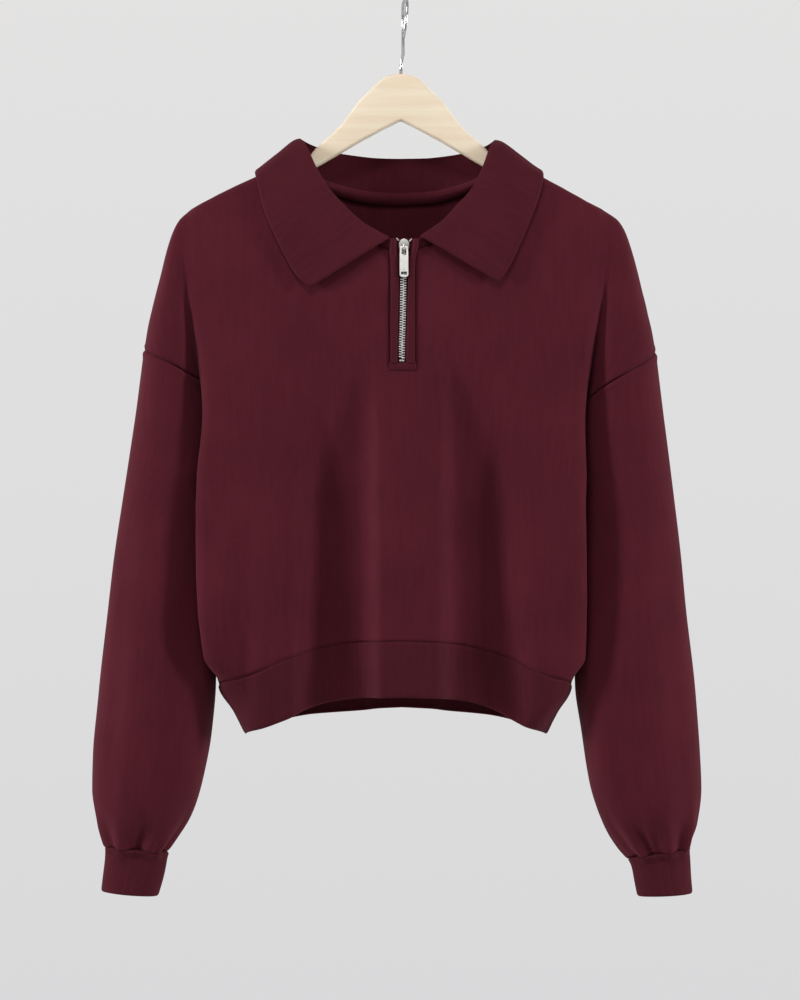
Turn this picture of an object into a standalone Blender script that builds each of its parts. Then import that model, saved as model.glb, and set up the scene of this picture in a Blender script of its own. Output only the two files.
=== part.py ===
"""Polo sweater with a half zip, hanging on a flat wooden hanger.

The cloth is a wall of knit along sections worked out level by level. "drop" is the depth below the
hook's inner crown, "left" and "right" are distances from the plane x = 0, and "front" and "back" are
distances before and behind the hanger's plane, all in millimetres. +X is the viewer's right, the front
faces -Y and +Z is up. The origin is the inner crown of the hook.
"""

import math

import bmesh
import bpy
import numpy as np
from mathutils import Matrix, Vector

MM = 0.001

# ---------------------------------------------------------------- sizes
WALL = 2.0  # knit of the body and sleeves
RIB_WALL = 2.4  # ribbed hem and cuffs
COLLAR_WALL = 2.0
SEAM_GAP = 0.4  # between two pieces that meet at a seam
TIP, DROP_POINT, UNDERARM, CUFF_LINE = 189.0, 315.0, 425.0, 766.0  # drops of the hanger's tips, sleeve heads, underarms and cuff seams
SIDE_BACKWARD = 3.0  # the side seams and sleeves hang this far behind the hanger's plane
SLOT_LEFT, SLOT_RIGHT, SLOT_TOP, SLOT_END = 10.4, 12.6, 228.0, 333.5  # opening for the zip
SIDES, FACES = ("left", "right"), ("front", "back")


# ---------------------------------------------------------------- tables
class Table:
    def __init__(self, columns, *rows):
        self.names = columns.split()
        self.rows = np.array(rows, float)

    def column(self, name):
        return self.rows[:, self.names.index(name)]

    def at(self, name, key):
        return smooth(self.rows[:, 0], self.column(name), key)


def smooth(keys, values, at):
    """A curve through the rows that never overshoots them (monotone cubic), level past its ends."""
    h = np.diff(keys)
    d = np.diff(values) / h
    m = np.zeros(len(keys))
    same = d[:-1] * d[1:] > 0
    m[1:-1][same] = 2 * d[:-1][same] * d[1:][same] / (d[:-1][same] + d[1:][same])
    m[0], m[-1] = d[0], d[-1]
    at = np.clip(np.asarray(at, float), keys[0], keys[-1])
    i = np.clip(np.searchsorted(keys, at, side="right") - 1, 0, len(h) - 1)
    t = (at - keys[i]) / h[i]
    return (
        values[i] * (1 + 2 * t) * (1 - t) ** 2
        + m[i] * h[i] * t * (1 - t) ** 2
        + values[i + 1] * t * t * (3 - 2 * t)
        - m[i + 1] * h[i] * t * t * (1 - t)
    )


def ramp(low, high, at):
    t = np.clip((np.asarray(at, float) - low) / (high - low), 0, 1)
    return t * t * (3 - 2 * t)


# Silhouette of shoulder, sleeve head and sleeve.
OUTLINE = Table(
    "drop left right",
    (138, 88, 89),
    (142, 96, 96),
    (162, 137, 131),
    (178, 170, 161),
    (189, 189.5, 180.5),
    (200, 201, 196),
    (216, 208.5, 204),
    (248, 216.5, 213),
    (313, 231, 228),
    (378, 240, 236.5),
    (454, 251.5, 246),
    (540, 263.5, 255.5),
    (626, 273, 265),
    (680, 278, 269),
    (712, 278.5, 270),
    (745, 273, 266.5),
    (766, 266.2, 259.7),
)
# Valley between body and sleeve, from the hanger's tips down to the underarms. The turns are the
# directions in which the cloth leaves it towards the body and towards the sleeve: 0 to the middle,
# 90 straight away from the hanger's plane, 180 outwards.
VALLEY = Table(
    "drop left right front back turn_body turn_cap",
    (189, 189.4, 180.4, 0.0, 0.0, 90, 270),
    (200, 193, 185, 11.5, 11.5, 28, 205),
    (216, 194, 185, 17, 16, 12, 190),
    (243, 193.5, 183.5, 23, 22, 8, 176),
    (265, 192, 181, 24.5, 23, 35, 158),
    (290, 188.5, 177.5, 23, 22, 62, 138),
    (315, 184.5, 172.5, 19, 19, 85, 128),
    (345, 179, 166.5, 14, 15, 100, 130),
    (380, 168, 158, 7, 8, 112, 140),
    (425, 152, 146.0, -3, 3, 122, 152),
)
# Corners where front and back turn to the side, and the side itself, which the sleeve nests in.
BODY = Table(
    "drop corner_left corner_right round side_left side_right turn",
    (138, 88, 89, 12, 0, 0, 90),
    (142, 96, 96, 12, 0, 0, 90),
    (162, 137, 131, 12, 0, 0, 90),
    (189, 189, 180, 13, 0, 0, 90),
    (216, 194, 185, 20, 0, 0, 90),
    (243, 192, 181, 24, 0, 0, 90),
    (300, 183.5, 168.5, 24, 0, 0, 90),
    (345, 182.5, 163.5, 24, 0, 0, 90),
    (380, 184, 162, 26, 0, 0, 90),
    (425, 184.5, 161, 26, 152, 146, 122),
    (460, 185, 160.5, 26, 147.5, 142.5, 124),
    (512, 183.5, 160.0, 26, 147.5, 143, 124),
    (539, 181, 159.5, 26, 150, 144.3, 121),
    (575, 175.5, 158.5, 26, 156.5, 147.6, 110),
    (593, 171.5, 157, 26, 160.5, 150.3, 100),
    (617, 165, 153.5, 26, 164.3, 153.2, 90),
    (640, 151.5, 141.5, 28, 151, 141, 90),
    (665, 139.5, 129.5, 30, 139, 129, 90),
)
# How far the body's cloth stands before and behind the hanger's plane, at its middle and corners.
DEPTH = Table(
    "drop front_mid front_edge back_mid back_edge",
    (138, 13, 9, 12.5, 9),
    (165, 18, 9.2, 15.5, 9.2),
    (189, 22.5, 10, 18, 10),
    (216, 27.5, 16.5, 21, 15.5),
    (248, 31.5, 24, 25, 22),
    (300, 38, 33, 30, 27),
    (345, 42.5, 38.5, 34, 33),
    (400, 47, 43, 39, 38),
    (470, 51, 46.5, 43, 42),
    (540, 54, 47.5, 46, 43),
    (590, 54, 44, 47, 42),
    (617, 52, 38, 45.5, 36),
    (665, 49, 33, 43, 32),
)
# Sleeve tube: its inner side below the underarm, its front and back reach, where that lies between
# inner side and silhouette, and the direction of the cloth at the inner side.
SLEEVE = Table(
    "drop left right front back share turn",
    (189, 0, 0, 0.1, 0.1, 0.5, 90),
    (200, 0, 0, 12.2, 12.2, 0.4, 90),
    (216, 0, 0, 18.5, 17.5, 0.42, 90),
    (243, 0, 0, 26.5, 24.5, 0.5, 90),
    (290, 0, 0, 33, 30, 0.52, 90),
    (345, 0, 0, 35.5, 34, 0.54, 90),
    (425, 152, 146, 35, 37.5, 0.56, 152),
    (450, 159.5, 150, 34.5, 38, 0.56, 128),
    (500, 163.5, 153, 35, 39, 0.55, 108),
    (560, 166, 155.0, 37, 41, 0.53, 96),
    (616, 166.8, 156.0, 39.5, 43, 0.5, 90),
    (659, 170.6, 162, 41, 44, 0.5, 90),
    (702, 179, 169.5, 40, 42, 0.5, 90),
    (720, 184, 175, 38, 40, 0.5, 90),
    (736, 190.4, 182, 33, 35, 0.5, 90),
    (756, 203, 196, 23, 24, 0.5, 90),
    (766, 210, 205.5, 19, 19, 0.5, 90),
)
# Armhole seam across the sleeve head: its drop for each share of the way from valley to silhouette.
ARMHOLE = Table(
    "share left right",
    (0.0, 344, 364),
    (0.2, 336, 350),
    (0.4, 327, 338),
    (0.6, 320, 327),
    (0.8, 316, 320),
    (1.0, 315, 317),
)
# Hem: drops of its seam and its edge for each share of the way from the middle to the side seam.
HEM = Table(
    "share front_seam front_edge back_seam back_edge",
    (0.0, 574.5, 624.5, 590, 640),
    (0.2, 576.5, 626, 591, 641.5),
    (0.35, 582, 629.5, 594, 645),
    (0.48, 590, 636, 599, 649),
    (0.6, 600, 645, 606, 654),
    (0.75, 609, 654, 612, 659),
    (1.0, 617, 662, 617, 662),
)
# Folds of the body. Each falls from one point to another and grows downwards; a negative height is a trough.
FOLDS = {
    "front": Table(
        "x_top x_low drop_top drop_low width height",
        (-58, -62, 380, 700, 24, -7),
        (62, 72, 380, 700, 26, -7),
        (-2, 2, 420, 700, 34, 3.5),
        (-104, -112, 470, 700, 14, 4),
        (118, 128, 450, 700, 18, 3),
    ),
    "back": Table(
        "x_top x_low drop_top drop_low width height",
        (-40, -52, 330, 700, 30, -7),
        (50, 66, 360, 700, 28, -6),
        (4, 8, 400, 700, 26, 4),
        (-110, -118, 430, 700, 18, 3.5),
        (112, 122, 450, 700, 16, 3.5),
    ),
}
# Collar: seam, top of the roll and outer edge at each section, from the zip round to the back.
COLLAR = {
    "left": Table(
        "share seam_x seam_drop seam_y roll_x roll_drop roll_y edge_x edge_drop edge_y",
        (0.00, -11.8, 226.8, -26.4, -10.0, 216.5, -30.5, -81, 261.3, -38.5),
        (0.06, -24, 221.5, -25.3, -19.5, 211.5, -29.5, -88, 256, -37.0),
        (0.12, -40, 213.5, -23.6, -33, 203.5, -27.8, -95, 248.5, -34.6),
        (0.20, -60, 199.5, -20.8, -49.6, 188.3, -25.2, -105, 231, -31.5),
        (0.28, -76, 183, -17.3, -64, 172.5, -22.5, -115, 211, -27.2),
        (0.36, -88, 163.5, -12.2, -76, 153, -18.0, -124.5, 187, -21.0),
        (0.43, -93.2, 147.5, -6.2, -85.8, 131.5, -10.0, -130.5, 161.6, -14.6),
        (0.48, -94.2, 139.8, 0, -90.5, 125.1, 0, -132.5, 154.5, 0),
        (0.54, -92, 145.5, 6.5, -84, 128, 9.5, -128.5, 161.6, 16.2),
        (0.63, -80, 157.5, 9.8, -66, 134, 16, -111, 182, 19.0),
        (0.75, -54, 169, 12.8, -46, 137.5, 19.5, -70, 195, 23.0),
        (0.88, -27, 174.8, 14.2, -24, 139.7, 21, -34, 199, 24.3),
        (1.00, -1.5, 176.2, 14.6, -1, 140.4, 21.5, -1.5, 200.5, 24.6),
    ),
    "right": Table(
        "share seam_x seam_drop seam_y roll_x roll_drop roll_y edge_x edge_drop edge_y",
        (0.00, 14.2, 226.8, -26.2, 16.0, 215.0, -30.5, 86.4, 256.5, -37.5),
        (0.06, 27, 221, -25.1, 24.5, 209.5, -29.3, 92, 249, -36.0),
        (0.12, 42, 212.5, -23.3, 35.5, 201.5, -27.5, 97, 240.7, -33.7),
        (0.20, 59, 198, -20.6, 48, 188.5, -25.0, 106, 222, -30.0),
        (0.28, 72, 182, -17.2, 59, 176, -22.3, 114, 203, -26.0),
        (0.36, 82.5, 162.5, -12.2, 71.5, 154.5, -18.0, 122.5, 181, -20.4),
        (0.43, 87.4, 145.5, -6.2, 79.4, 133, -10.0, 127.5, 161.2, -14.6),
        (0.48, 88.4, 136.4, 0, 83.3, 126.3, 0, 128.0, 154.7, 0),
        (0.54, 86, 144.5, 6.5, 78, 129, 9.5, 124, 161.2, 16.2),
        (0.63, 74, 157.5, 9.8, 62, 134.5, 16, 106, 182, 19.0),
        (0.75, 50, 169, 12.8, 44, 138, 19.5, 65, 195, 23.0),
        (0.88, 24, 174.8, 14.2, 22, 140, 21, 31, 199, 24.3),
        (1.00, -1.5, 176.2, 14.6, -1, 140.4, 21.5, -1.5, 200.5, 24.6),
    ),
}
# Cuffs: silhouette, inner side, front and back reach, from the gathered seam to the open end.
CUFF = {
    "left": Table(
        "share outer inner outer_drop inner_drop reach",
        (0.0, 266.3, 210.0, 760.8, 766.8, 18.5),
        (0.3, 267.0, 212.0, 773, 779, 17.5),
        (1.0, 270.3, 218.5, 802, 806.5, 17.0),
    ),
    "right": Table(
        "share outer inner outer_drop inner_drop reach",
        (0.0, 259.8, 205.5, 761.4, 772.2, 18.5),
        (0.3, 260.0, 208.0, 774, 783, 17.5),
        (1.0, 262.4, 212.9, 803.7, 806.5, 17.0),
    ),
}
CUFF_TILT = {"left": (-5.2, 0.8), "right": (-4.6, 6.2)}  # how far the outer and inner ends of the gathered seam shift


# ---------------------------------------------------------------- the form of the cloth
def fold_reach(table, x, d):
    total = 0.0
    for x_top, x_low, d_top, d_low, width, height in table.rows:
        s = np.clip((d - d_top) / (d_low - d_top), 0, 1)
        q = (x - x_top - (x_low - x_top) * s) / width
        total = total + height * ramp(d_top, d_top + 0.45 * (d_low - d_top), d) * np.exp(-q * q)
    return total


def reach(face, side, x, d):
    """How far the body's cloth stands before or behind the hanger's plane, x >= 0 from the middle."""
    mid, edge = DEPTH.at(face + "_mid", d), DEPTH.at(face + "_edge", d)
    u = np.clip(np.abs(x) / (BODY.at("corner_" + side, d) - 4), 0, 1.15)
    sign = -1.0 if side == "left" else 1.0
    return edge + (mid - edge) * (1 - u**2.4) + fold_reach(FOLDS[face], sign * x, d)


def bezier(b0, b1, b2, b3, t):
    t = t[None, :, None]
    b0, b1, b2, b3 = (b[:, None, :] for b in (b0, b1, b2, b3))
    return b0 * (1 - t) ** 3 + 3 * b1 * t * (1 - t) ** 2 + 3 * b2 * t * t * (1 - t) + b3 * t**3


def resample(points, n):
    """Each row of points at n equal steps of its length, and its length."""
    step = np.linalg.norm(np.diff(points, axis=1), axis=2)
    run = np.concatenate([np.zeros((len(points), 1)), np.cumsum(step, axis=1)], axis=1)
    out = np.empty((len(points), n, 2))
    for k in range(len(points)):
        want = np.linspace(0, run[k, -1], n)
        for j in (0, 1):
            out[k, :, j] = np.interp(want, run[k], points[k, :, j])
    return out, run[:, -1]


def body_sections(face, side, d, n=200):
    """From x = 0 outwards to the valley or the side seam, for each drop in d."""
    under, above = d >= UNDERARM, d < TIP
    backward = -SIDE_BACKWARD if face == "front" else SIDE_BACKWARD
    vx = np.where(above, OUTLINE.at(side, d), np.where(under, BODY.at("side_" + side, d), VALLEY.at(side, d)))
    vy = np.where(above, 0.0, np.where(under, backward, VALLEY.at(face, d)))
    turn = np.radians(np.where(above, 90.0, np.where(under, BODY.at("turn", d), VALLEY.at("turn_body", d))))
    start = BODY.at("corner_" + side, d) - BODY.at("round", d)
    flat = np.linspace(0, 1, 120)[None, :] * start[:, None]
    flat_y = reach(face, side, flat, d[:, None])
    slope = (flat_y[:, -1] - flat_y[:, -3]) / (flat[:, -1] - flat[:, -3])
    g, v = np.stack([start, flat_y[:, -1]], 1), np.stack([vx, vy], 1)
    chord = np.linalg.norm(v - g, axis=1)
    deep = ramp(300, 425, d) * (1 - ramp(590, 617, d))
    leave = chord * (0.42 + 0.62 * deep)
    b1 = g + np.stack([leave, slope * leave], 1)
    b2 = v + 0.42 * chord[:, None] * np.stack([-np.cos(turn), np.sin(turn)], 1)
    bend = bezier(g, b1, b2, v, np.linspace(0, 1, 120))
    return resample(np.concatenate([np.stack([flat, flat_y], 2)[:, :-1], bend], axis=1), n)


def cap_sections(face, side, d, n=120):
    """From the valley or the sleeve's inner side outwards to the silhouette, for each drop in d."""
    under = d >= UNDERARM
    backward = (-SIDE_BACKWARD if face == "front" else SIDE_BACKWARD) * ramp(200, UNDERARM, d)
    xo = OUTLINE.at(side, d)
    vx = np.where(under, SLEEVE.at(side, d), VALLEY.at(side, d))
    vy = np.where(under, backward, VALLEY.at(face, d))
    turn = np.radians(np.where(under, SLEEVE.at("turn", d), VALLEY.at("turn_cap", d)))
    xa = vx + SLEEVE.at("share", d) * (xo - vx)
    a = np.stack([xa, np.maximum(SLEEVE.at(face, d), vy)], 1)
    v, o = np.stack([vx, vy], 1), np.stack([xo, backward], 1)
    k, zero = 0.5523, 0 * xa
    chord = np.linalg.norm(a - v, axis=1)
    leave = np.where(d > 300, np.maximum(np.abs(a[:, 1] - vy) * k, 0.3 * chord), 0.36 * chord)
    b1 = v + leave[:, None] * np.stack([-np.cos(turn), np.sin(turn)], 1)
    first = bezier(v, b1, a - np.stack([np.abs(xa - vx) * k, zero], 1), a, np.linspace(0, 1, 80))
    c1 = a + np.stack([(xo - xa) * k * 1.12, zero], 1)
    c2 = o + np.stack([zero, (a[:, 1] - backward) * k * 1.12], 1)
    second = bezier(a, c1, c2, o, np.linspace(0, 1, 80))
    return resample(np.concatenate([first[:, :-1], second], axis=1), n)


LEVELS = np.arange(138.0, 772.0, 3.0)


class Skin:
    """The outer face of one quarter of the garment. It turns a place on the flat cloth, (drop, distance
    from the middle along the cloth), into a point."""

    def __init__(self, face, side):
        self.face, self.side = face, side
        self.sy, self.sx = (-1 if face == "front" else 1), (-1 if side == "left" else 1)
        self.body, self.body_length = body_sections(face, side, LEVELS)
        self.cap, self.cap_length = cap_sections(face, side, LEVELS)
        self.cap_length = np.where(LEVELS < TIP, 0, self.cap_length)

    def width(self, d):
        return np.interp(d, LEVELS, self.body_length)

    def cap_width(self, d):
        return np.interp(d, LEVELS, self.cap_length)

    def sample(self, grid, share, d):
        at = np.clip((d - LEVELS[0]) / (LEVELS[1] - LEVELS[0]), 0, len(LEVELS) - 1.001)
        i, a = at.astype(int), (at % 1)[:, None]
        q = np.clip(share, 0, 1) * (grid.shape[1] - 1)
        j = np.minimum(q.astype(int), grid.shape[1] - 2)
        b = (q - j)[:, None]
        low = grid[i, j] * (1 - b) + grid[i, j + 1] * b
        high = grid[i + 1, j] * (1 - b) + grid[i + 1, j + 1] * b
        flat = low * (1 - a) + high * a
        return np.stack([self.sx * flat[:, 0], self.sy * flat[:, 1], -d], 1)

    def point(self, d, across):
        """across is the distance from the middle along the cloth, past the valley over the sleeve head."""
        d, across = (np.asarray(v, float).ravel() for v in np.broadcast_arrays(d, across))
        width, cap = self.width(d), self.cap_width(d)
        on_body = self.sample(self.body, across / width, d)
        on_cap = self.sample(self.cap, (across - width) / np.maximum(cap, 1e-6), d)
        return np.where((across > width)[:, None] & (cap > 0)[:, None], on_cap, on_body)

    def on_sleeve(self, d, share):
        d, share = (np.asarray(v, float).ravel() for v in np.broadcast_arrays(d, share))
        return self.sample(self.cap, share, d)

    def across(self, d, x):
        """Distance along the cloth of the point x (>= 0) from the middle, at drop d."""
        i = np.clip(((d - LEVELS[0]) / 3.0).astype(int), 0, len(LEVELS) - 1)
        out = np.empty(len(d))
        for k in range(len(d)):
            row = self.body[i[k]]
            flat = row[: np.argmax(row[:, 0]) + 1]
            out[k] = np.interp(x[k], flat[:, 0], np.linspace(0, self.body_length[i[k]], len(row))[: len(flat)])
        return out


SKIN = {(face, side): Skin(face, side) for face in FACES for side in SIDES}


# ---------------------------------------------------------------- flat pieces
def coons(top, bottom, left, right, u, v):
    """A grid of rows between four edges of a flat piece."""
    u, v = u[None, :, None], v[:, None, None]
    corners = (
        (1 - u) * (1 - v) * top[0] + u * (1 - v) * top[-1] + (1 - u) * v * bottom[0] + u * v * bottom[-1]
    )
    return (1 - v) * top[None] + v * bottom[None] + (1 - u) * left[:, None] + u * right[:, None] - corners


def along(points, n):
    """n + 1 points at equal steps along a line of points."""
    run = np.concatenate([[0], np.cumsum(np.linalg.norm(np.diff(points, axis=0), axis=1))])
    want = np.linspace(0, run[-1], n + 1)
    return np.stack([np.interp(want, run, points[:, j]) for j in range(points.shape[1])], 1)


def hem_seam(face, side, share, shift=0.0):
    """Flat place on the hem seam at a share of the way from the middle to the side seam."""
    skin, d = SKIN[face, side], HEM.at(face + "_seam", share) + shift
    return np.stack([d, share * skin.width(d)], 1)


def armhole(face, side, steps):
    """(drop, share of the sleeve head) at equal steps along the armhole seam, down to the underarm."""
    skin = SKIN[face, side]
    share = np.linspace(1, 0, 80)
    head = ARMHOLE.at(side, share)
    d = np.concatenate([head, np.linspace(head[-1], UNDERARM, 80)[1:]])
    share = np.concatenate([share, np.zeros(79)])
    run = np.linalg.norm(np.diff(skin.on_sleeve(d, share), axis=0), axis=1)
    run = np.concatenate([[0], np.cumsum(run)])
    want = np.linspace(0, run[-1], steps + 1)
    return np.interp(want, run, d), np.interp(want, run, share)


def neck_line(face, side):
    """(x, drop) of the neckline from the shoulder to the zip or the middle of the back."""
    rows = COLLAR[side]
    share = np.linspace(0.48, 0.0 if face == "front" else 1.0, 40)
    x, d = np.abs(rows.at("seam_x", share)), rows.at("seam_drop", share)
    if face == "back":
        x = x * (1 - ramp(0.9, 1.0, share)) if side else x
    return x, d


def panel_half(face, side, columns, rows, inner):
    """Flat grid (rows, columns, 2) of half a panel, from the side seam to the middle (or the zip's slot).
    rows: steps along the armhole, along the side seam, and down to the drop of the row that must be met."""
    skin = SKIN[face, side]
    on_seam, on_side, to_level, level = rows
    x, d = neck_line(face, side)
    d = d + 2.2 - 1.2 * ramp(150, 168, d)
    neck = np.stack([d, skin.across(d, x)], 1)
    neck[-1, 1] = inner
    head_d, head_share = armhole(face, side, on_seam)
    seam = np.stack([head_d, skin.width(head_d) + head_share * skin.cap_width(head_d) - SEAM_GAP / 2], 1)
    seam[0] += (-SEAM_GAP, 0)
    n_shoulder = 8
    top_d = shoulder_drops(side, seam[0, 0], d[0] + 0.6, n_shoulder)
    shoulder = np.stack([top_d, skin.width(top_d) + skin.cap_width(top_d) - 0.25 - 0.95 * (1 - ramp(154, 166, top_d))], 1)
    shoulder[0] = seam[0]
    low = HEM.at(face + "_seam", 1.0) - SEAM_GAP / 2
    side_d = np.linspace(UNDERARM, low, on_side + 1)[1:]
    side_line = np.stack([side_d, skin.width(side_d) - SEAM_GAP / 2], 1)
    top = np.concatenate([shoulder, along(neck, columns - n_shoulder)[1:]])
    left = np.concatenate([seam, side_line])
    share = hem_shares(columns, inner)
    bottom = hem_seam(face, side, share, -SEAM_GAP / 2)
    bottom[:, 1] -= SEAM_GAP / 2 * share
    bottom[-1, 1] = inner
    n = on_seam + on_side
    middle = np.concatenate(
        [np.linspace(neck[-1, 0], level, to_level + 1), np.linspace(level, bottom[-1, 0], n - to_level + 1)[1:]]
    )
    right = np.stack([middle, np.full(len(middle), inner)], 1)
    bottom[0] = left[-1]
    grid = coons(top, bottom, left, right, np.linspace(0, 1, columns + 1), np.linspace(0, 1, n + 1))
    # a narrow strip beside the shoulder fold keeps the wall square to the fold
    edge = grid[0] + (grid[1] - grid[0]) * 0.07
    edge[-1] = grid[0, -1] + (grid[1, -1] - grid[0, -1]) * 0.07
    return np.concatenate([grid[:1], edge[None], grid[1:]])


def shoulder_drops(side, low, high, n):
    """Drops at equal steps along the shoulder line, the same for front and back so that they match."""
    d = np.linspace(low, high, 200)
    run = np.concatenate([[0], np.cumsum(np.hypot(np.diff(OUTLINE.at(side, d)), np.diff(d)))])
    return np.interp(np.linspace(0, run[-1], n + 1), run, d)


def hem_shares(columns, inner):
    return np.linspace(1, inner / 235.0, columns + 1)


def panel(face, columns, rows):
    """Vertices, quads and flat places of a whole panel."""
    points, quads, flat = [], [], []

    def add(grid, side):
        start = sum(len(p) for p in points)
        d, a = grid[..., 0].ravel(), grid[..., 1].ravel()
        points.append(SKIN[face, side].point(d, a))
        flat.append(np.stack([(-a if side == "left" else a), -d], 1))
        n, m = grid.shape[:2]
        return start + np.arange(n * m).reshape(n, m)

    def join(index, flip):
        for i in range(index.shape[0] - 1):
            for j in range(index.shape[1] - 1):
                q = [index[i, j], index[i + 1, j], index[i + 1, j + 1], index[i, j + 1]]
                quads.append(q[::-1] if flip else q)

    inner = {"left": SLOT_LEFT, "right": SLOT_RIGHT} if face == "front" else {"left": 0.0, "right": 0.0}
    grids = {side: panel_half(face, side, columns, rows, inner[side]) for side in SIDES}
    if face == "back":
        grids["right"] = grids["right"][:, :-1]  # the two halves share the middle line
        mid = grids["left"][:, -1]
    left, right = add(grids["left"], "left"), add(grids["right"], "right")
    front = face == "front"
    join(left, not front)
    join(right, front)
    if face == "back":
        join(np.stack([left[:, -1], right[:, -1]], 1), not front)
    else:
        n = rows[2] + 1
        low_l, low_r = left[n:, -1], right[n:, -1]
        middle = add(np.stack([grids["left"][n:, -1:, 0], 0 * grids["left"][n:, -1:, 0]], 2), "left")
        join(np.stack([low_l, middle[:, 0]], 1), not front)
        join(np.stack([middle[:, 0], low_r], 1), not front)
    return np.concatenate(points), quads, np.concatenate(flat)


def sleeve(side, half, rings):
    """Vertices and quads of a sleeve tube, ring by ring from the armhole to the gathered cuff seam."""
    outer, inner = CUFF_TILT[side]
    parts_of_ring = []
    for face, pick in (("front", slice(0, half + 1)), ("back", slice(half - 1, 0, -1))):
        skin = SKIN[face, side]
        d0, s0 = armhole(face, side, half)
        cap = np.maximum(skin.cap_width(d0), 1)
        s0 = np.where(s0 > 0.999, 1.0, s0 + 1.6 * SEAM_GAP / cap)
        d0 = d0 + 0.5 * ramp(0.0, 0.3, s0)
        d0[0] += SEAM_GAP
        s1 = np.linspace(1, 0, half + 1)
        parts_of_ring.append((skin, d0[pick], s0[pick], s1[pick]))
    points, quads, n = [], [], 2 * half
    for v in np.concatenate([[0, 0.012], np.linspace(0, 1, rings + 1)[1:]]):
        mix = ramp(0, 0.35, v)
        for skin, d0, s0, s1 in parts_of_ring:
            d = d0 + (CUFF_LINE - d0) * v
            p = skin.on_sleeve(d, s0 * (1 - mix) + s1 * mix)
            p[:, 2] -= (outer + (inner - outer) * (1 - s1)) * ramp(640, CUFF_LINE, d)
            points.append(p)
    for k in range(rings + 1):
        for j in range(n):
            q = [k * n + j, (k + 1) * n + j, (k + 1) * n + (j + 1) % n, k * n + (j + 1) % n]
            quads.append(q if side == "left" else q[::-1])
    return np.concatenate(points), quads


def cuff(side, ring, rings):
    """A rib tube that starts as the sleeve's last ring, moved down by the gap."""
    rows, sx, n = CUFF[side], (-1 if side == "left" else 1), len(ring)
    start = np.array(ring) - (0, 0, SEAM_GAP)
    middle = (start.max(axis=0) + start.min(axis=0)) / 2
    half = (start.max(axis=0) - start.min(axis=0)) / 2
    c = sx * (start[:, 0] - middle[0]) / half[0]
    s = (start[:, 1] - middle[1]) / half[1]
    points, quads = [start], []
    for share in np.linspace(0, 1, rings + 1)[1:]:
        outer, inner, outer_d, inner_d, r = (
            float(rows.at(name, share)) for name in ("outer", "inner", "outer_drop", "inner_drop", "reach")
        )
        x = (outer + inner) / 2 + (outer - inner) / 2 * c
        z = -(outer_d + inner_d) / 2 - (outer_d - inner_d) / 2 * c
        points.append(np.stack([sx * x, SIDE_BACKWARD + r * s, z], 1))
    for k in range(rings):
        for j in range(n):
            q = [k * n + j, (k + 1) * n + j, (k + 1) * n + (j + 1) % n, k * n + (j + 1) % n]
            quads.append(q if side == "left" else q[::-1])
    return np.concatenate(points), quads


def hem(face, columns, rows):
    """Rib band from the hem seam to the open edge."""
    points, quads = [], []
    inner = {"left": SLOT_LEFT, "right": SLOT_RIGHT} if face == "front" else {"left": 0.0, "right": 0.0}
    left, right = hem_shares(columns, inner["left"]), hem_shares(columns, inner["right"])[::-1]
    middle = [0.0] if face == "front" else []
    right = right if face == "front" else right[1:]
    share = np.concatenate([left, middle, right])
    sides = ["left"] * len(left) + ["right"] * (len(middle) + len(right))
    for v in np.linspace(0, 1, rows + 1):
        for s, side in zip(share, sides):
            skin = SKIN[face, side]
            low, high = float(HEM.at(face + "_edge", s)), float(HEM.at(face + "_seam", s)) + SEAM_GAP / 2
            high += 1.3 * float(ramp(0.82, 1, s)) + 0.1
            d = high + (low - high) * v
            a = s * float(skin.width(d)) - (SEAM_GAP / 2 + 0.5 * float(ramp(0.95, 1, s))) * s
            points.append(skin.point(d, a)[0])
    n = len(share)
    for i in range(rows):
        for j in range(n - 1):
            q = [i * n + j, (i + 1) * n + j, (i + 1) * n + j + 1, i * n + j + 1]
            quads.append(q if face == "front" else q[::-1])
    return np.array(points), quads


def collar_profile(side, share, n):
    """Points of the collar's visible face at one section: up the stand, over the roll, down the leaf."""
    rows = COLLAR[side]
    seam, roll, edge = (
        np.array([float(rows.at(c + "_x", share)), float(rows.at(c + "_y", share)), -float(rows.at(c + "_drop", share))])
        for c in ("seam", "roll", "edge")
    )
    to_seam, to_edge = seam - roll, edge - roll
    stand, leaf = np.linalg.norm(to_seam), np.linalg.norm(to_edge)
    to_seam, to_edge = to_seam / stand, to_edge / leaf
    away = np.array([0.0, -1.0 if share < 0.48 else 1.0, 0.0]) * (1 - math.exp(-(((share - 0.48) / 0.035) ** 2)))
    away = away + np.array([(-1 if side == "left" else 1) * 0.55, 0, 0.75]) * math.exp(-(((share - 0.48) / 0.05) ** 2))
    away /= np.linalg.norm(away)
    foot = min(3.5, 0.35 * stand)
    inside = roll + to_seam * foot - away * 0.4
    outside = roll + to_edge * 5.0 + away * 2.6
    seam = seam - to_seam * 0.8
    body = roll + to_edge * leaf * 0.5 + away * (1.6 + 1.5 * math.exp(-(((share - 0.2) / 0.2) ** 2)))
    line = np.array([seam, (seam + inside) / 2 - away * 0.2, inside, roll, outside, body, edge])
    # a smooth curve through these places
    t = np.concatenate([[0], np.cumsum(np.sqrt(np.linalg.norm(np.diff(line, axis=0), axis=1)))])
    dense = np.stack([catmull(t, line[:, j], np.linspace(0, t[-1], 120)) for j in range(3)], 1)
    run = np.concatenate([[0], np.cumsum(np.linalg.norm(np.diff(dense, axis=0), axis=1))])
    top = run[np.argmin(np.linalg.norm(dense - roll, axis=1))]
    a = max(2, round(n * 0.4))
    want = np.concatenate([np.linspace(0, top - 2.5, a), np.linspace(top, run[-1], n - a + 1) if n < 10 else np.linspace(top - 1.5, run[-1], n - a + 1)])
    return np.stack([np.interp(want, run, dense[:, j]) for j in range(3)], 1)


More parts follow.
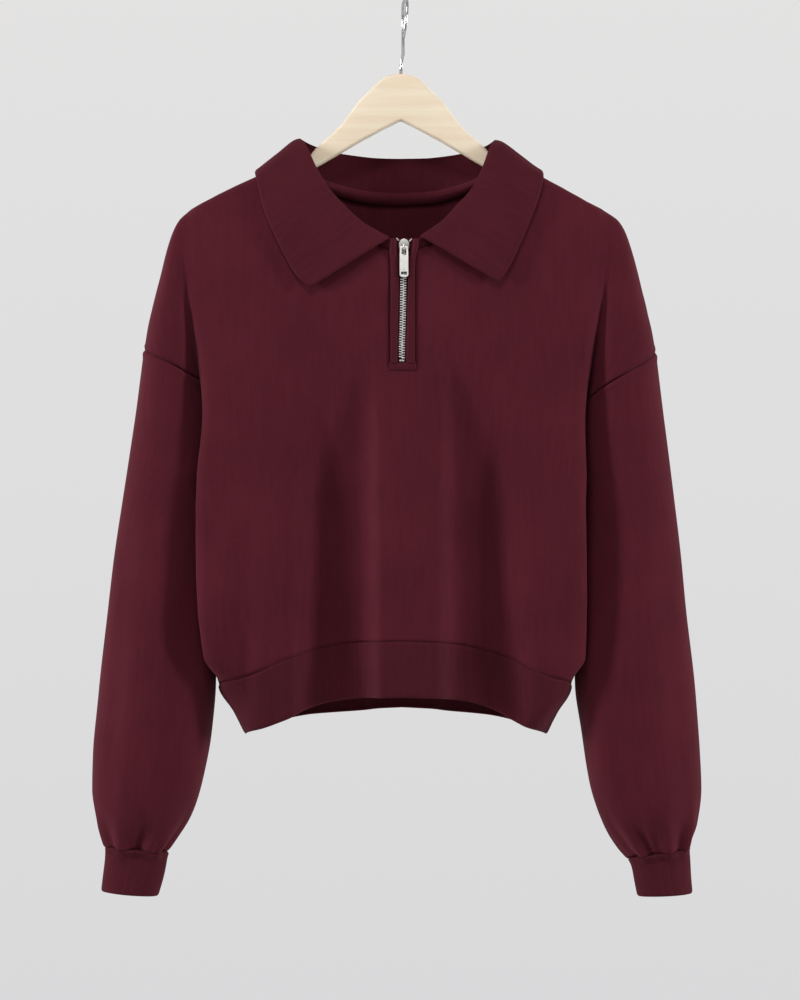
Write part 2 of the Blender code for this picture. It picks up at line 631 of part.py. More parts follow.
def catmull(t, values, at):
    slope = np.gradient(values, t)
    h = np.diff(t)
    i = np.clip(np.searchsorted(t, at, side="right") - 1, 0, len(h) - 1)
    u = (at - t[i]) / h[i]
    return (
        values[i] * (1 + 2 * u) * (1 - u) ** 2 + slope[i] * h[i] * u * (1 - u) ** 2
        + values[i + 1] * u * u * (3 - 2 * u) - slope[i + 1] * h[i] * u * u * (1 - u)
    )


def collar(sections, n):
    share = np.linspace(0, 1, sections + 1)
    places = [("left", s) for s in share] + [("right", s) for s in share[::-1][1:]]
    points = np.array([collar_profile(side, s, n) for side, s in places])
    m = points.shape[1]
    quads = []
    for i in range(len(places) - 1):
        for j in range(m - 1):
            quads.append([i * m + j, (i + 1) * m + j, (i + 1) * m + j + 1, i * m + j + 1])
    return points.reshape(-1, 3), quads


# ---------------------------------------------------------------- objects
for old in list(bpy.data.objects):
    bpy.data.objects.remove(old, do_unlink=True)

parts = bpy.data.collections.new("polo_sweater_on_hanger")
bpy.context.scene.collection.children.link(parts)


def material(name, colour, roughness, metallic=0.0):
    mat = bpy.data.materials.new(name)
    mat.use_nodes = True
    shader = mat.node_tree.nodes["Principled BSDF"]
    shader.inputs["Base Color"].default_value = (*colour, 1)
    shader.inputs["Roughness"].default_value = roughness
    shader.inputs["Metallic"].default_value = metallic
    mat.diffuse_color = (*colour, 1)
    return mat


def place(name, data, mat, smooth_angle=None):
    obj = bpy.data.objects.new(name, data)
    parts.objects.link(obj)
    data.materials.append(mat)
    if smooth_angle is not None:
        data.shade_smooth()
        data.set_sharp_from_angle(angle=math.radians(smooth_angle))
    return obj


def shell(name, points, quads, wall, mat, side=-1.0):
    """An open face with its wall behind it."""
    mesh = bpy.data.meshes.new(name)
    mesh.from_pydata([tuple(np.asarray(p) * MM) for p in points], [], [tuple(int(i) for i in q) for q in quads])
    mesh.validate()
    obj = place(name, mesh, mat, 50)
    mod = obj.modifiers.new("wall", "SOLIDIFY")
    mod.thickness = wall * MM
    mod.offset = side
    return obj


KNIT = ((0.072, 0.012, 0.020), 0.9)


# ---------------------------------------------------------------- cloth
ON_ARMHOLE, ON_SIDE = 10, 8
front_knit = material("front_knit", *KNIT)
shell("front_panel", *panel("front", 13, (ON_ARMHOLE, ON_SIDE, 6, SLOT_END))[:2], WALL, front_knit)
back_knit = material("back_knit", *KNIT)
shell("back_panel", *panel("back", 13, (ON_ARMHOLE, ON_SIDE, 6, 360.0))[:2], WALL, back_knit)
for side in SIDES:
    tube = sleeve(side, ON_ARMHOLE, 14)
    shell("sleeve_" + side, *tube, WALL, material("sleeve_knit_" + side, *KNIT))
    shell("cuff_" + side, *cuff(side, tube[0][-2 * ON_ARMHOLE :], 2), RIB_WALL, material("cuff_rib_" + side, *KNIT))
shell("hem_front", *hem("front", 13, 2), RIB_WALL, material("hem_rib_front", *KNIT))
shell("hem_back", *hem("back", 13, 2), RIB_WALL, material("hem_rib_back", *KNIT))
shell("collar", *collar(15, 9), COLLAR_WALL, material("collar_knit", *KNIT))


# ---------------------------------------------------------------- neck tape, placket and zip
TAPE_WALL = 1.2  # neck tape
LIP_WALL = 1.6  # the two lips of the placket
LIP_OUT = 1.0  # how far they stand out of the panel
ZIP_TAPE_WALL, ZIP_TAPE_BACK = 0.8, 3.6  # and how far behind the panel's outer face the tapes lie
CHAIN_WALL, CHAIN_BACK, CHAIN_HALF = 1.8, 1.2, 2.8
# The lips' edges and the middle of the chain, as x at each drop.
PLACKET = Table(
    "drop left_outer left_inner chain right_inner right_outer",
    (216, -8.6, -1.6, 2.3, 6.2, 11.5),
    (229.5, -9.9, -3.0, 2.2, 7.2, 12.1),
    (253, -9.9, -2.6, 1.75, 6.0, 12.1),
    (290, -9.9, -3.0, 1.1, 4.9, 12.1),
    (317, -9.9, -3.4, 0.4, 4.2, 12.1),
    (335, -9.9, -3.4, 0.4, 4.2, 12.1),
)


def chest(x, d, out):
    """A point in front of (out > 0) or behind the outer face of the front, at x and drop d."""
    return (x, -float(reach("front", "left" if x < 0 else "right", abs(x), d)) - out, -d)


def strip(name, left, right, drops, out, wall, mat, columns=2):
    """A strip of cloth or tape on the chest between two edges, each a function of the drop."""
    points, quads = [], []
    for d in drops:
        a, b = left(d), right(d)
        points += [chest(a + (b - a) * t, d, out) for t in np.linspace(0, 1, columns + 1)]
    n = columns + 1
    for i in range(len(drops) - 1):
        for j in range(columns):
            quads.append([i * n + j, (i + 1) * n + j, (i + 1) * n + j + 1, i * n + j + 1])
    return shell(name, points, quads, wall, mat)


def edge(name, shift=0.0):
    return lambda d: float(PLACKET.at(name, d)) + shift


lip_drops, tape_drops = np.linspace(229.5, 328.4, 9), np.linspace(217.0, 327.5, 9)
strip("placket_left", edge("left_outer"), edge("left_inner"), lip_drops, LIP_OUT, LIP_WALL, material("placket_knit_left", *KNIT))
strip("placket_right", edge("right_inner"), edge("right_outer"), lip_drops, LIP_OUT, LIP_WALL, material("placket_knit_right", *KNIT))
strip(
    "placket_bar", edge("left_outer"), edge("right_outer"), np.linspace(329.0, 335.0, 3), LIP_OUT + 0.8, 1.2,
    material("placket_bar_knit", *KNIT), 4,
)
TAPE = ((0.05, 0.012, 0.016), 0.85)
strip(
    "zip_tape_left", edge("left_outer", -3.0), edge("chain", -0.3), tape_drops, -ZIP_TAPE_BACK, ZIP_TAPE_WALL,
    material("zip_tape_left", *TAPE),
)
strip(
    "zip_tape_right", edge("chain", 0.3), edge("right_outer", 3.0), tape_drops, -ZIP_TAPE_BACK, ZIP_TAPE_WALL,
    material("zip_tape_right", *TAPE),
)
METAL = ((0.60, 0.58, 0.55), 0.28, 1.0)
strip(
    "zip_chain", edge("chain", -CHAIN_HALF), edge("chain", CHAIN_HALF), np.linspace(231.0, 325.0, 9), -CHAIN_BACK,
    CHAIN_WALL, material("zip_chain_metal", *METAL),
)


def box(size, centre, turn=(0.0, 0.0, 0.0)):
    """A bmesh box with its place and turn applied, in millimetres and degrees."""
    made = bmesh.new()
    bmesh.ops.create_cube(made, size=1.0)
    around = Matrix.Rotation(math.radians(turn[0]), 4, "X") @ Matrix.Rotation(math.radians(turn[1]), 4, "Y")
    bmesh.ops.transform(
        made, verts=made.verts,
        matrix=Matrix.Translation(Vector(centre) * MM) @ around @ Matrix.Diagonal(Vector((*(v * MM for v in size), 1))),
    )
    return made


def solid(name, made, mat, bevel=0.0, at=(0.0, 0.0, 0.0)):
    mesh = bpy.data.meshes.new(name)
    made.to_mesh(mesh)
    made.free()
    obj = place(name, mesh, mat, 40)
    obj.location = Vector(at) * MM
    if bevel:
        mod = obj.modifiers.new("rounded", "BEVEL")
        mod.width, mod.segments, mod.limit_method = bevel * MM, 2, "ANGLE"
        mod.angle_limit = math.radians(50)
    return obj


cutters = bpy.data.collections.new("cutters")
bpy.context.scene.collection.children.link(cutters)


def combine(obj, made, name, operation):
    """Adds a shape to the object, or cuts it away."""
    mesh = bpy.data.meshes.new(name)
    made.to_mesh(mesh)
    made.free()
    tool = bpy.data.objects.new(name, mesh)
    tool.location = obj.location
    tool.hide_render, tool.display_type = True, "WIRE"
    cutters.objects.link(tool)
    mod = obj.modifiers.new(name, "BOOLEAN")
    mod.operation, mod.solver, mod.object = operation, "EXACT", tool


STOP = (2.0, 1.8, 3.6)  # width, depth and height of a top stop
for side, x, d, lean in (("left", -3.6, 217.8, 14.0), ("right", 8.0, 218.6, -14.0)):
    solid("zip_stop_top_" + side, box(STOP, chest(x, d, -1.9), (0, lean, 0)), material("zip_stop_metal_" + side, *METAL), 0.4)
solid("zip_stop_bottom", box((4.6, 1.8, 1.6), chest(0.4, 326.6, -2.1)), material("zip_stop_metal_bottom", *METAL), 0.3)

# Slider: a plate over the top of the chain with a bridge standing on it, under which the tab's bar turns.
SLIDER_X, PIVOT_DROP = 2.2, 225.2
PLATE = (9.4, 1.4, 11.0)  # width, depth, height
PLATE_FRONT = 0.9  # its front face stands this far out of the panel
BAR_RADIUS, BRIDGE_IN, BRIDGE_OUT, BRIDGE_WIDTH = 0.75, 1.15, 2.5, 2.6
chest_y = chest(SLIDER_X, PIVOT_DROP, 0)[1]
PIVOT = (SLIDER_X, chest_y - PLATE_FRONT - 1.15, -PIVOT_DROP)


def turned(profile, width):
    """A flat profile in (forward, up) around the pivot, given a width along X."""
    made = bmesh.new()
    ends = []
    for x in (-width / 2, width / 2):
        ends.append([made.verts.new((x * MM, -f * MM, u * MM)) for f, u in profile])
    n = len(profile)
    for i in range(n):
        made.faces.new([ends[0][i], ends[0][(i + 1) % n], ends[1][(i + 1) % n], ends[1][i]])
    made.faces.new(ends[0][::-1])
    made.faces.new(ends[1])
    bmesh.ops.recalc_face_normals(made, faces=made.faces)
    return made


angles = np.radians(np.linspace(-90, 90, 13))
bridge = [(-1.3, -BRIDGE_OUT)] + [(BRIDGE_OUT * math.cos(t), BRIDGE_OUT * math.sin(t)) for t in angles]
bridge += [(-1.3, BRIDGE_OUT), (-1.3, BRIDGE_IN)]
bridge += [(BRIDGE_IN * math.cos(t), BRIDGE_IN * math.sin(t)) for t in angles[::-1]] + [(-1.3, -BRIDGE_IN)]
slider = solid(
    "zip_slider", box(PLATE, (0, 1.15 + PLATE[1] / 2, 2.4)), material("zip_slider_metal", *METAL), 0.5, PIVOT
)
combine(slider, turned(bridge, BRIDGE_WIDTH), "slider_bridge", "UNION")

# Pull tab: its own frame has the bar along X at the origin and the tab hanging down -Z before it is tilted.
TAB = (8.0, 1.5, 27.2)  # width, depth, length
TAB_TILT = 8.0  # the chest leans out below the slider
tab = bmesh.new()
half, r = TAB[0] / 2, 2.4
outline = [(-half + 1.1, 0.9), (half - 1.1, 0.9), (half - 0.35, 0.45), (half - 0.2, -1.0)]
outline += [(half, -8.0), (half, -TAB[2] + r)]
outline += [(half - r + r * math.cos(t), -TAB[2] + r - r * math.sin(t)) for t in np.radians([30, 60, 90])]
outline += [(-x, z) for x, z in outline[::-1][0:3]] + [(-half, -TAB[2] + r), (-half, -8.0)]
outline += [(-half + 0.2, -1.0), (-half + 0.35, 0.45)]
rings = [[tab.verts.new((x * MM, y * TAB[1] / 2 * MM, z * MM)) for x, z in outline] for y in (-1, 1)]
n = len(outline)
for i in range(n):
    tab.faces.new([rings[0][i], rings[0][(i + 1) % n], rings[1][(i + 1) % n], rings[1][i]])
tab.faces.new(rings[0][::-1])
tab.faces.new(rings[1])
bmesh.ops.recalc_face_normals(tab, faces=tab.faces)
tilt = Matrix.Rotation(math.radians(-TAB_TILT), 4, "X")


def tilted(made):
    bmesh.ops.transform(made, matrix=tilt, verts=made.verts)
    return made


pull = solid("zip_pull", tilted(tab), material("zip_pull_metal", *METAL), 0.35, PIVOT)
combine(pull, tilted(box((4.2, 4, 6.2), (0, 0, -3.9))), "tab_window", "DIFFERENCE")
combine(pull, tilted(box((5.2, 4, 3.0), (0, 0, -TAB[2] + 3.6))), "tab_hole", "DIFFERENCE")
combine(pull, tilted(box((6.2, 1.6, 10.6), (0, -0.35, -14.9))), "tab_raised_panel", "UNION")

# Neck tape: over the inside of the back neck seam, from the panel up onto the collar's stand.
points, quads = [], []
share = np.linspace(0.62, 1.0, 8)
for side, shares in (("left", share), ("right", share[::-1][1:])):
    for s in shares:
        x, d, y = (float(COLLAR[side].at("seam_" + c, s)) for c in ("x", "drop", "y"))
        up = collar_profile(side, s, 9)
        stand = up[1] + (up[0] - up[1]) * max(0.0, 1 - 3.4 / max(np.linalg.norm(up[0] - up[1]), 0.1))
        skin, below, beside = SKIN["back", side], np.array([d + 8, d + 2]), np.array([abs(x)] * 2)
        panel_y = skin.point(below, skin.across(below, beside))[:, 1] - WALL
        low_y = panel_y[0] - 0.6 - TAPE_WALL
        mid_y = min(panel_y[1], up[0][1]) - 0.7 - TAPE_WALL
        points += [(x, low_y, -d - 8), (x, mid_y, -d - 0.5), (x, min(stand[1], up[0][1]) - 0.7 - TAPE_WALL, stand[2])]
for i in range(len(points) // 3 - 1):
    for j in range(2):
        quads.append([i * 3 + j, (i + 1) * 3 + j, (i + 1) * 3 + j + 1, i * 3 + j + 1])
shell("neck_tape", points, quads, TAPE_WALL, material("neck_tape", (0.05, 0.009, 0.015), 0.9))

# ---------------------------------------------------------------- hanger
HANGER_X = -0.8
HANGER_HALF = 5.5
SHOULDER = Table(  # half of the outline: distance from the middle, top and underside
    "across top under",
    (0, 66.5, 109),
    (12, 68.5, 112.5),
    (20, 74, 117),
    (25, 80, 120.2),
    (35, 88.5, 127),
    (45, 103, 132.8),
    (55, 117.5, 138.6),
    (71, 129.3, 148),
    (80, 137.2, 153),
    (86, 148.4, 158.5),
    (95, 154.4, 163.5),
    (110, 161.8, 171),
    (130, 171.8, 181),
    (150, 182.2, 191),
    (163, 189.4, 198),
    (171, 194.8, 202),
    (176, 199.6, 204.2),
)
WIRE = 1.5
HOOK_RADIUS = 20.0 + WIRE

top = [(a, -t) for a, t, _ in SHOULDER.rows]
under = [(a, -u) for a, _, u in SHOULDER.rows]
outline = [(-a, z) for a, z in top[::-1]] + top[1:] + [(177.6, -202.6)] + under[::-1] + [(-a, z) for a, z in under[1:]]
outline += [(-177.6, -202.6)]
curve = bpy.data.curves.new("hanger_wood", "CURVE")
curve.dimensions, curve.fill_mode, curve.extrude = "2D", "BOTH", HANGER_HALF * MM
spline = curve.splines.new("POLY")
spline.points.add(len(outline) - 1)
for point, (x, z) in zip(spline.points, outline):
    point.co = (x * MM, z * MM, 0, 1)
spline.use_cyclic_u = True
wood = place("hanger_wood", curve, material("hanger_wood", (0.80, 0.62, 0.42), 0.45))
wood.rotation_euler = (math.radians(90), 0, 0)
wood.location = (HANGER_X * MM, 0, 0)
weld = wood.modifiers.new("weld", "WELD")
weld.merge_threshold = 0.00001
rounded = wood.modifiers.new("rounded", "BEVEL")
rounded.width, rounded.segments, rounded.limit_method = 2.6 * MM, 2, "ANGLE"
rounded.angle_limit = math.radians(60)

wire = [(-0.6, 0.0, -66.2), (-0.3, 0.0, -60.0), (0.45, -0.4, -52.5)]
wire += [(0.45 + 1.4 * k, -3.2 * k - 0.4, -52.5 + 4.6 * k) for k in (0.35, 0.7)]
for t in np.linspace(-52, 212, 34):
    y, z = -HOOK_RADIUS * math.cos(math.radians(t)), -20.0 + HOOK_RADIUS * math.sin(math.radians(t))
    lean = np.clip((t + 52) / 264, 0, 1)
    wire.append((1.4 + 3.6 * math.sin(math.pi * min(1.0, lean * 1.5)), y, z))
curve = bpy.data.curves.new("hanger_hook", "CURVE")
curve.dimensions, curve.bevel_depth, curve.bevel_resolution, curve.use_fill_caps = "3D", WIRE * MM, 2, True
spline = curve.splines.new("POLY")
spline.points.add(len(wire) - 1)
for point, co in zip(spline.points, wire):
    point.co = (*(v * MM for v in co), 1)
hook = place("hanger_hook", curve, material("hanger_steel", (0.55, 0.55, 0.56), 0.25, 1.0))
spline.use_smooth = True
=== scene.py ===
"""Visual model of the polo sweater with a half zip on its flat wooden hanger.

Every cloth piece is a fine grid on the same form as its solid, with its folds, gathers, seams and knit
added. "drop" is the depth below the hook's inner crown, "left" and "right" are distances from the plane
x = 0, and "front" and "back" are distances before and behind the hanger's plane, in millimetres.
"""

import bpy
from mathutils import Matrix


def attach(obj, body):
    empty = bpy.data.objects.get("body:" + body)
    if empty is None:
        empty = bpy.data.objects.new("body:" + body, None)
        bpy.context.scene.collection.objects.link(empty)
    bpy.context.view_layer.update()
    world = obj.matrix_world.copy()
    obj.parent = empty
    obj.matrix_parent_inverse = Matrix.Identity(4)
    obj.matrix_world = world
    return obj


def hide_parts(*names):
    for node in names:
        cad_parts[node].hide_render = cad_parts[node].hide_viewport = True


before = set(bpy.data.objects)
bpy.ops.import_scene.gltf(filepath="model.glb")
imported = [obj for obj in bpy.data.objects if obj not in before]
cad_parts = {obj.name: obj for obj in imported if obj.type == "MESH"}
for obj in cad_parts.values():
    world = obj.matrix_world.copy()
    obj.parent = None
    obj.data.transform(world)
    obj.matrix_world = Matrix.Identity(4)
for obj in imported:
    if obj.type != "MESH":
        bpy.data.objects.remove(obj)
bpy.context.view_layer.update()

import math

import bmesh
import bpy
import numpy as np
from mathutils import Matrix, Vector

MM = 0.001
FINE = 8  # steps of the fine grid for each step of the form's sections

# ---------------------------------------------------------------- sizes
WALL = 2.0  # knit of the body and sleeves
RIB_WALL = 2.4  # ribbed hem and cuffs
COLLAR_WALL = 2.0
SEAM_GAP = 0.4  # between two pieces that meet at a seam
TIP, DROP_POINT, UNDERARM, CUFF_LINE = 189.0, 315.0, 425.0, 766.0  # drops of the hanger's tips, sleeve heads, underarms and cuff seams
SIDE_BACKWARD = 3.0  # the side seams and sleeves hang this far behind the hanger's plane
SLOT_LEFT, SLOT_RIGHT, SLOT_TOP, SLOT_END = 10.4, 12.6, 228.0, 333.5  # opening for the zip
SIDES, FACES = ("left", "right"), ("front", "back")


# ---------------------------------------------------------------- tables
class Table:
    def __init__(self, columns, *rows):
        self.names = columns.split()
        self.rows = np.array(rows, float)

    def column(self, name):
        return self.rows[:, self.names.index(name)]

    def at(self, name, key):
        return smooth(self.rows[:, 0], self.column(name), key)


def smooth(keys, values, at):
    """A curve through the rows that never overshoots them (monotone cubic), level past its ends."""
    h = np.diff(keys)
    d = np.diff(values) / h
    m = np.zeros(len(keys))
    same = d[:-1] * d[1:] > 0
    m[1:-1][same] = 2 * d[:-1][same] * d[1:][same] / (d[:-1][same] + d[1:][same])
    m[0], m[-1] = d[0], d[-1]
    at = np.clip(np.asarray(at, float), keys[0], keys[-1])
    i = np.clip(np.searchsorted(keys, at, side="right") - 1, 0, len(h) - 1)
    t = (at - keys[i]) / h[i]
    return (
        values[i] * (1 + 2 * t) * (1 - t) ** 2
        + m[i] * h[i] * t * (1 - t) ** 2
        + values[i + 1] * t * t * (3 - 2 * t)
        - m[i + 1] * h[i] * t * t * (1 - t)
    )


def ramp(low, high, at):
    t = np.clip((np.asarray(at, float) - low) / (high - low), 0, 1)
    return t * t * (3 - 2 * t)


# Silhouette of shoulder, sleeve head and sleeve.
OUTLINE = Table(
    "drop left right",
    (138, 88, 89),
    (142, 96, 96),
    (162, 137, 131),
    (178, 170, 161),
    (189, 189.5, 180.5),
    (200, 201, 196),
    (216, 208.5, 204),
    (248, 216.5, 213),
    (313, 231, 228),
    (378, 240, 236.5),
    (454, 251.5, 246),
    (540, 263.5, 255.5),
    (626, 273, 265),
    (680, 278, 269),
    (712, 278.5, 270),
    (745, 273, 266.5),
    (766, 266.2, 259.7),
)
# Valley between body and sleeve, from the hanger's tips down to the underarms. The turns are the
# directions in which the cloth leaves it towards the body and towards the sleeve: 0 to the middle,
# 90 straight away from the hanger's plane, 180 outwards.
VALLEY = Table(
    "drop left right front back turn_body turn_cap",
    (189, 189.4, 180.4, 0.0, 0.0, 90, 270),
    (200, 193, 185, 11.5, 11.5, 28, 205),
    (216, 194, 185, 17, 16, 12, 190),
    (243, 193.5, 183.5, 23, 22, 8, 176),
    (265, 192, 181, 24.5, 23, 35, 158),
    (290, 188.5, 177.5, 23, 22, 62, 138),
    (315, 184.5, 172.5, 19, 19, 85, 128),
    (345, 179, 166.5, 14, 15, 100, 130),
    (380, 168, 158, 7, 8, 112, 140),
    (425, 152, 146.0, -3, 3, 122, 152),
)
# Corners where front and back turn to the side, and the side itself, which the sleeve nests in.
BODY = Table(
    "drop corner_left corner_right round side_left side_right turn",
    (138, 88, 89, 12, 0, 0, 90),
    (142, 96, 96, 12, 0, 0, 90),
    (162, 137, 131, 12, 0, 0, 90),
    (189, 189, 180, 13, 0, 0, 90),
    (216, 194, 185, 20, 0, 0, 90),
    (243, 192, 181, 24, 0, 0, 90),
    (300, 183.5, 168.5, 24, 0, 0, 90),
    (345, 182.5, 163.5, 24, 0, 0, 90),
    (380, 184, 162, 26, 0, 0, 90),
    (425, 184.5, 161, 26, 152, 146, 122),
    (460, 185, 160.5, 26, 147.5, 142.5, 124),
    (512, 183.5, 160.0, 26, 147.5, 143, 124),
    (539, 181, 159.5, 26, 150, 144.3, 121),
    (575, 175.5, 158.5, 26, 156.5, 147.6, 110),
    (593, 171.5, 157, 26, 160.5, 150.3, 100),
    (617, 165, 153.5, 26, 164.3, 153.2, 90),
    (640, 151.5, 141.5, 28, 151, 141, 90),
    (665, 139.5, 129.5, 30, 139, 129, 90),
)
# How far the body's cloth stands before and behind the hanger's plane, at its middle and corners.
DEPTH = Table(
    "drop front_mid front_edge back_mid back_edge",
    (138, 13, 9, 12.5, 9),
    (165, 18, 9.2, 15.5, 9.2),
    (189, 22.5, 10, 18, 10),
    (216, 27.5, 16.5, 21, 15.5),
    (248, 31.5, 24, 25, 22),
    (300, 38, 33, 30, 27),
    (345, 42.5, 38.5, 34, 33),
    (400, 47, 43, 39, 38),
    (470, 51, 46.5, 43, 42),
    (540, 54, 47.5, 46, 43),
    (590, 54, 44, 47, 42),
    (617, 52, 38, 45.5, 36),
    (665, 49, 33, 43, 32),
)
# Sleeve tube: its inner side below the underarm, its front and back reach, where that lies between
# inner side and silhouette, and the direction of the cloth at the inner side.
SLEEVE = Table(
    "drop left right front back share turn",
    (189, 0, 0, 0.1, 0.1, 0.5, 90),
    (200, 0, 0, 12.2, 12.2, 0.4, 90),
    (216, 0, 0, 18.5, 17.5, 0.42, 90),
    (243, 0, 0, 26.5, 24.5, 0.5, 90),
    (290, 0, 0, 33, 30, 0.52, 90),
    (345, 0, 0, 35.5, 34, 0.54, 90),
    (425, 152, 146, 35, 37.5, 0.56, 152),
    (450, 159.5, 150, 34.5, 38, 0.56, 128),
    (500, 163.5, 153, 35, 39, 0.55, 108),
    (560, 166, 155.0, 37, 41, 0.53, 96),
    (616, 166.8, 156.0, 39.5, 43, 0.5, 90),
    (659, 170.6, 162, 41, 44, 0.5, 90),
    (702, 179, 169.5, 40, 42, 0.5, 90),
    (720, 184, 175, 38, 40, 0.5, 90),
    (736, 190.4, 182, 33, 35, 0.5, 90),
    (756, 203, 196, 23, 24, 0.5, 90),
    (766, 210, 205.5, 19, 19, 0.5, 90),
)
# Armhole seam across the sleeve head: its drop for each share of the way from valley to silhouette.
ARMHOLE = Table(
    "share left right",
    (0.0, 344, 364),
    (0.2, 336, 350),
    (0.4, 327, 338),
    (0.6, 320, 327),
    (0.8, 316, 320),
    (1.0, 315, 317),
)
# Hem: drops of its seam and its edge for each share of the way from the middle to the side seam.
HEM = Table(
    "share front_seam front_edge back_seam back_edge",
    (0.0, 574.5, 624.5, 590, 640),
    (0.2, 576.5, 626, 591, 641.5),
    (0.35, 582, 629.5, 594, 643),
    (0.48, 590, 636, 599, 645),
    (0.6, 600, 645, 606, 648.5),
    (0.75, 609, 654, 612, 654.5),
    (1.0, 617, 662, 617, 662),
)
# Folds of the body. Each falls from one point to another and grows downwards, with its own width on its
# left and right; a negative height is a trough. The powers tell a soft flank (2) from a crisp one (6).
FOLDS = {
    "front": Table(
        "x_top x_low drop_top drop_low left right power_left power_right height",
        (-58, -54, 200, 520, 36, 33, 2.6, 3.5, -8),
        (-55, -54, 280, 540, 38, 30, 3.5, 9, -13),
        (66, 67, 200, 520, 33, 38, 3.5, 2.6, -8),
        (67, 69, 280, 540, 29, 41, 9, 3.0, -13),
        (-17, -17, 400, 640, 7, 13, 2, 2, 2.2),
        (27, 29, 400, 640, 12, 7, 2, 2, 2.2),
        (-99, -97, 500, 620, 9, 5, 2, 2, 1.8),
        (-118, -122, 430, 640, 12, 10, 2, 2, 2.0),
        (-150, -158, 420, 600, 9, 8, 2, 2, 1.5),
        (-134, -138, 380, 620, 9, 9, 2, 2, -1.6),
        (122, 128, 430, 640, 16, 10, 2, 2, 2.0),
        (148, 146, 480, 640, 8, 8, 2, 2, 1.4),
        (100, 106, 520, 640, 8, 9, 2, 2, -1.8),
    ),
    "back": Table(
        "x_top x_low drop_top drop_low left right power_left power_right height",
        (-52, -58, 230, 600, 34, 32, 2.6, 2.6, -6),
        (-48, -54, 380, 660, 30, 24, 3, 5, -7),
        (56, 64, 250, 620, 30, 34, 2.6, 2.6, -6),
        (52, 60, 390, 660, 24, 30, 5, 3, -7),
        (2, 6, 400, 660, 18, 16, 2, 2, 3),
        (-20, -22, 460, 660, 6, 14, 2, 2, 2),
        (28, 32, 440, 660, 14, 7, 2, 2, 2),
        (-112, -118, 430, 660, 14, 9, 2, 2, 2.2),
        (112, 122, 450, 660, 10, 14, 2, 2, 2.2),
        (-148, -152, 470, 640, 8, 8, 2, 2, 1.4),
        (96, 100, 540, 660, 7, 10, 2, 2, -1.5),
    ),
}
# Collar: seam, top of the roll and outer edge at each section, from the zip round to the back.
COLLAR = {
    "left": Table(
        "share seam_x seam_drop seam_y roll_x roll_drop roll_y edge_x edge_drop edge_y",
        (0.00, -11.8, 226.8, -26.4, -10.0, 216.5, -30.5, -81, 261.3, -38.5),
        (0.06, -24, 221.5, -25.3, -19.5, 211.5, -29.5, -88, 256, -37.0),
        (0.12, -40, 213.5, -23.6, -33, 203.5, -27.8, -95, 248.5, -34.6),
        (0.20, -60, 199.5, -20.8, -49.6, 188.3, -25.2, -105, 231, -31.5),
        (0.28, -76, 183, -17.3, -64, 172.5, -22.5, -115, 211, -27.2),
        (0.36, -88, 163.5, -12.2, -76, 153, -18.0, -124.5, 187, -21.0),
        (0.43, -93.2, 147.5, -6.2, -85.8, 131.5, -10.0, -130.5, 161.6, -14.6),
        (0.48, -94.2, 139.8, 0, -90.5, 125.1, 0, -132.5, 154.5, 0),
        (0.54, -92, 145.5, 6.5, -84, 128, 9.5, -128.5, 161.6, 16.2),
        (0.63, -80, 157.5, 9.8, -66, 134, 16, -111, 182, 19.0),
        (0.75, -54, 169, 12.8, -46, 137.5, 19.5, -70, 195, 23.0),
        (0.88, -27, 174.8, 14.2, -24, 139.7, 21, -34, 199, 24.3),
        (1.00, -1.5, 176.2, 14.6, -1, 140.4, 21.5, -1.5, 200.5, 24.6),
    ),
    "right": Table(
        "share seam_x seam_drop seam_y roll_x roll_drop roll_y edge_x edge_drop edge_y",
        (0.00, 14.2, 226.8, -26.2, 16.0, 215.0, -30.5, 86.4, 256.5, -37.5),
        (0.06, 27, 221, -25.1, 24.5, 209.5, -29.3, 92, 249, -36.0),
        (0.12, 42, 212.5, -23.3, 35.5, 201.5, -27.5, 97, 240.7, -33.7),
        (0.20, 59, 198, -20.6, 48, 188.5, -25.0, 106, 222, -30.0),
        (0.28, 72, 182, -17.2, 59, 176, -22.3, 114, 203, -26.0),
        (0.36, 82.5, 162.5, -12.2, 71.5, 154.5, -18.0, 122.5, 181, -20.4),
        (0.43, 87.4, 145.5, -6.2, 79.4, 133, -10.0, 127.5, 161.2, -14.6),
        (0.48, 88.4, 136.4, 0, 83.3, 126.3, 0, 128.0, 154.7, 0),
        (0.54, 86, 144.5, 6.5, 78, 129, 9.5, 124, 161.2, 16.2),
        (0.63, 74, 157.5, 9.8, 62, 134.5, 16, 106, 182, 19.0),
        (0.75, 50, 169, 12.8, 44, 138, 19.5, 65, 195, 23.0),
        (0.88, 24, 174.8, 14.2, 22, 140, 21, 31, 199, 24.3),
        (1.00, -1.5, 176.2, 14.6, -1, 140.4, 21.5, -1.5, 200.5, 24.6),
    ),
}
# Cuffs: silhouette, inner side, front and back reach, from the gathered seam to the open end.
CUFF = {
    "left": Table(
        "share outer inner outer_drop inner_drop reach",
        (0.0, 266.3, 210.0, 760.8, 766.8, 18.5),
        (0.3, 267.0, 212.0, 773, 779, 17.5),
        (1.0, 270.3, 218.5, 802, 806.5, 17.0),
    ),
    "right": Table(
        "share outer inner outer_drop inner_drop reach",
        (0.0, 259.8, 205.5, 761.4, 772.2, 18.5),
        (0.3, 260.0, 208.0, 774, 783, 17.5),
        (1.0, 262.4, 212.9, 803.7, 806.5, 17.0),
    ),
}
CUFF_TILT = {"left": (-5.2, 0.8), "right": (-4.6, 6.2)}  # how far the outer and inner ends of the gathered seam shift


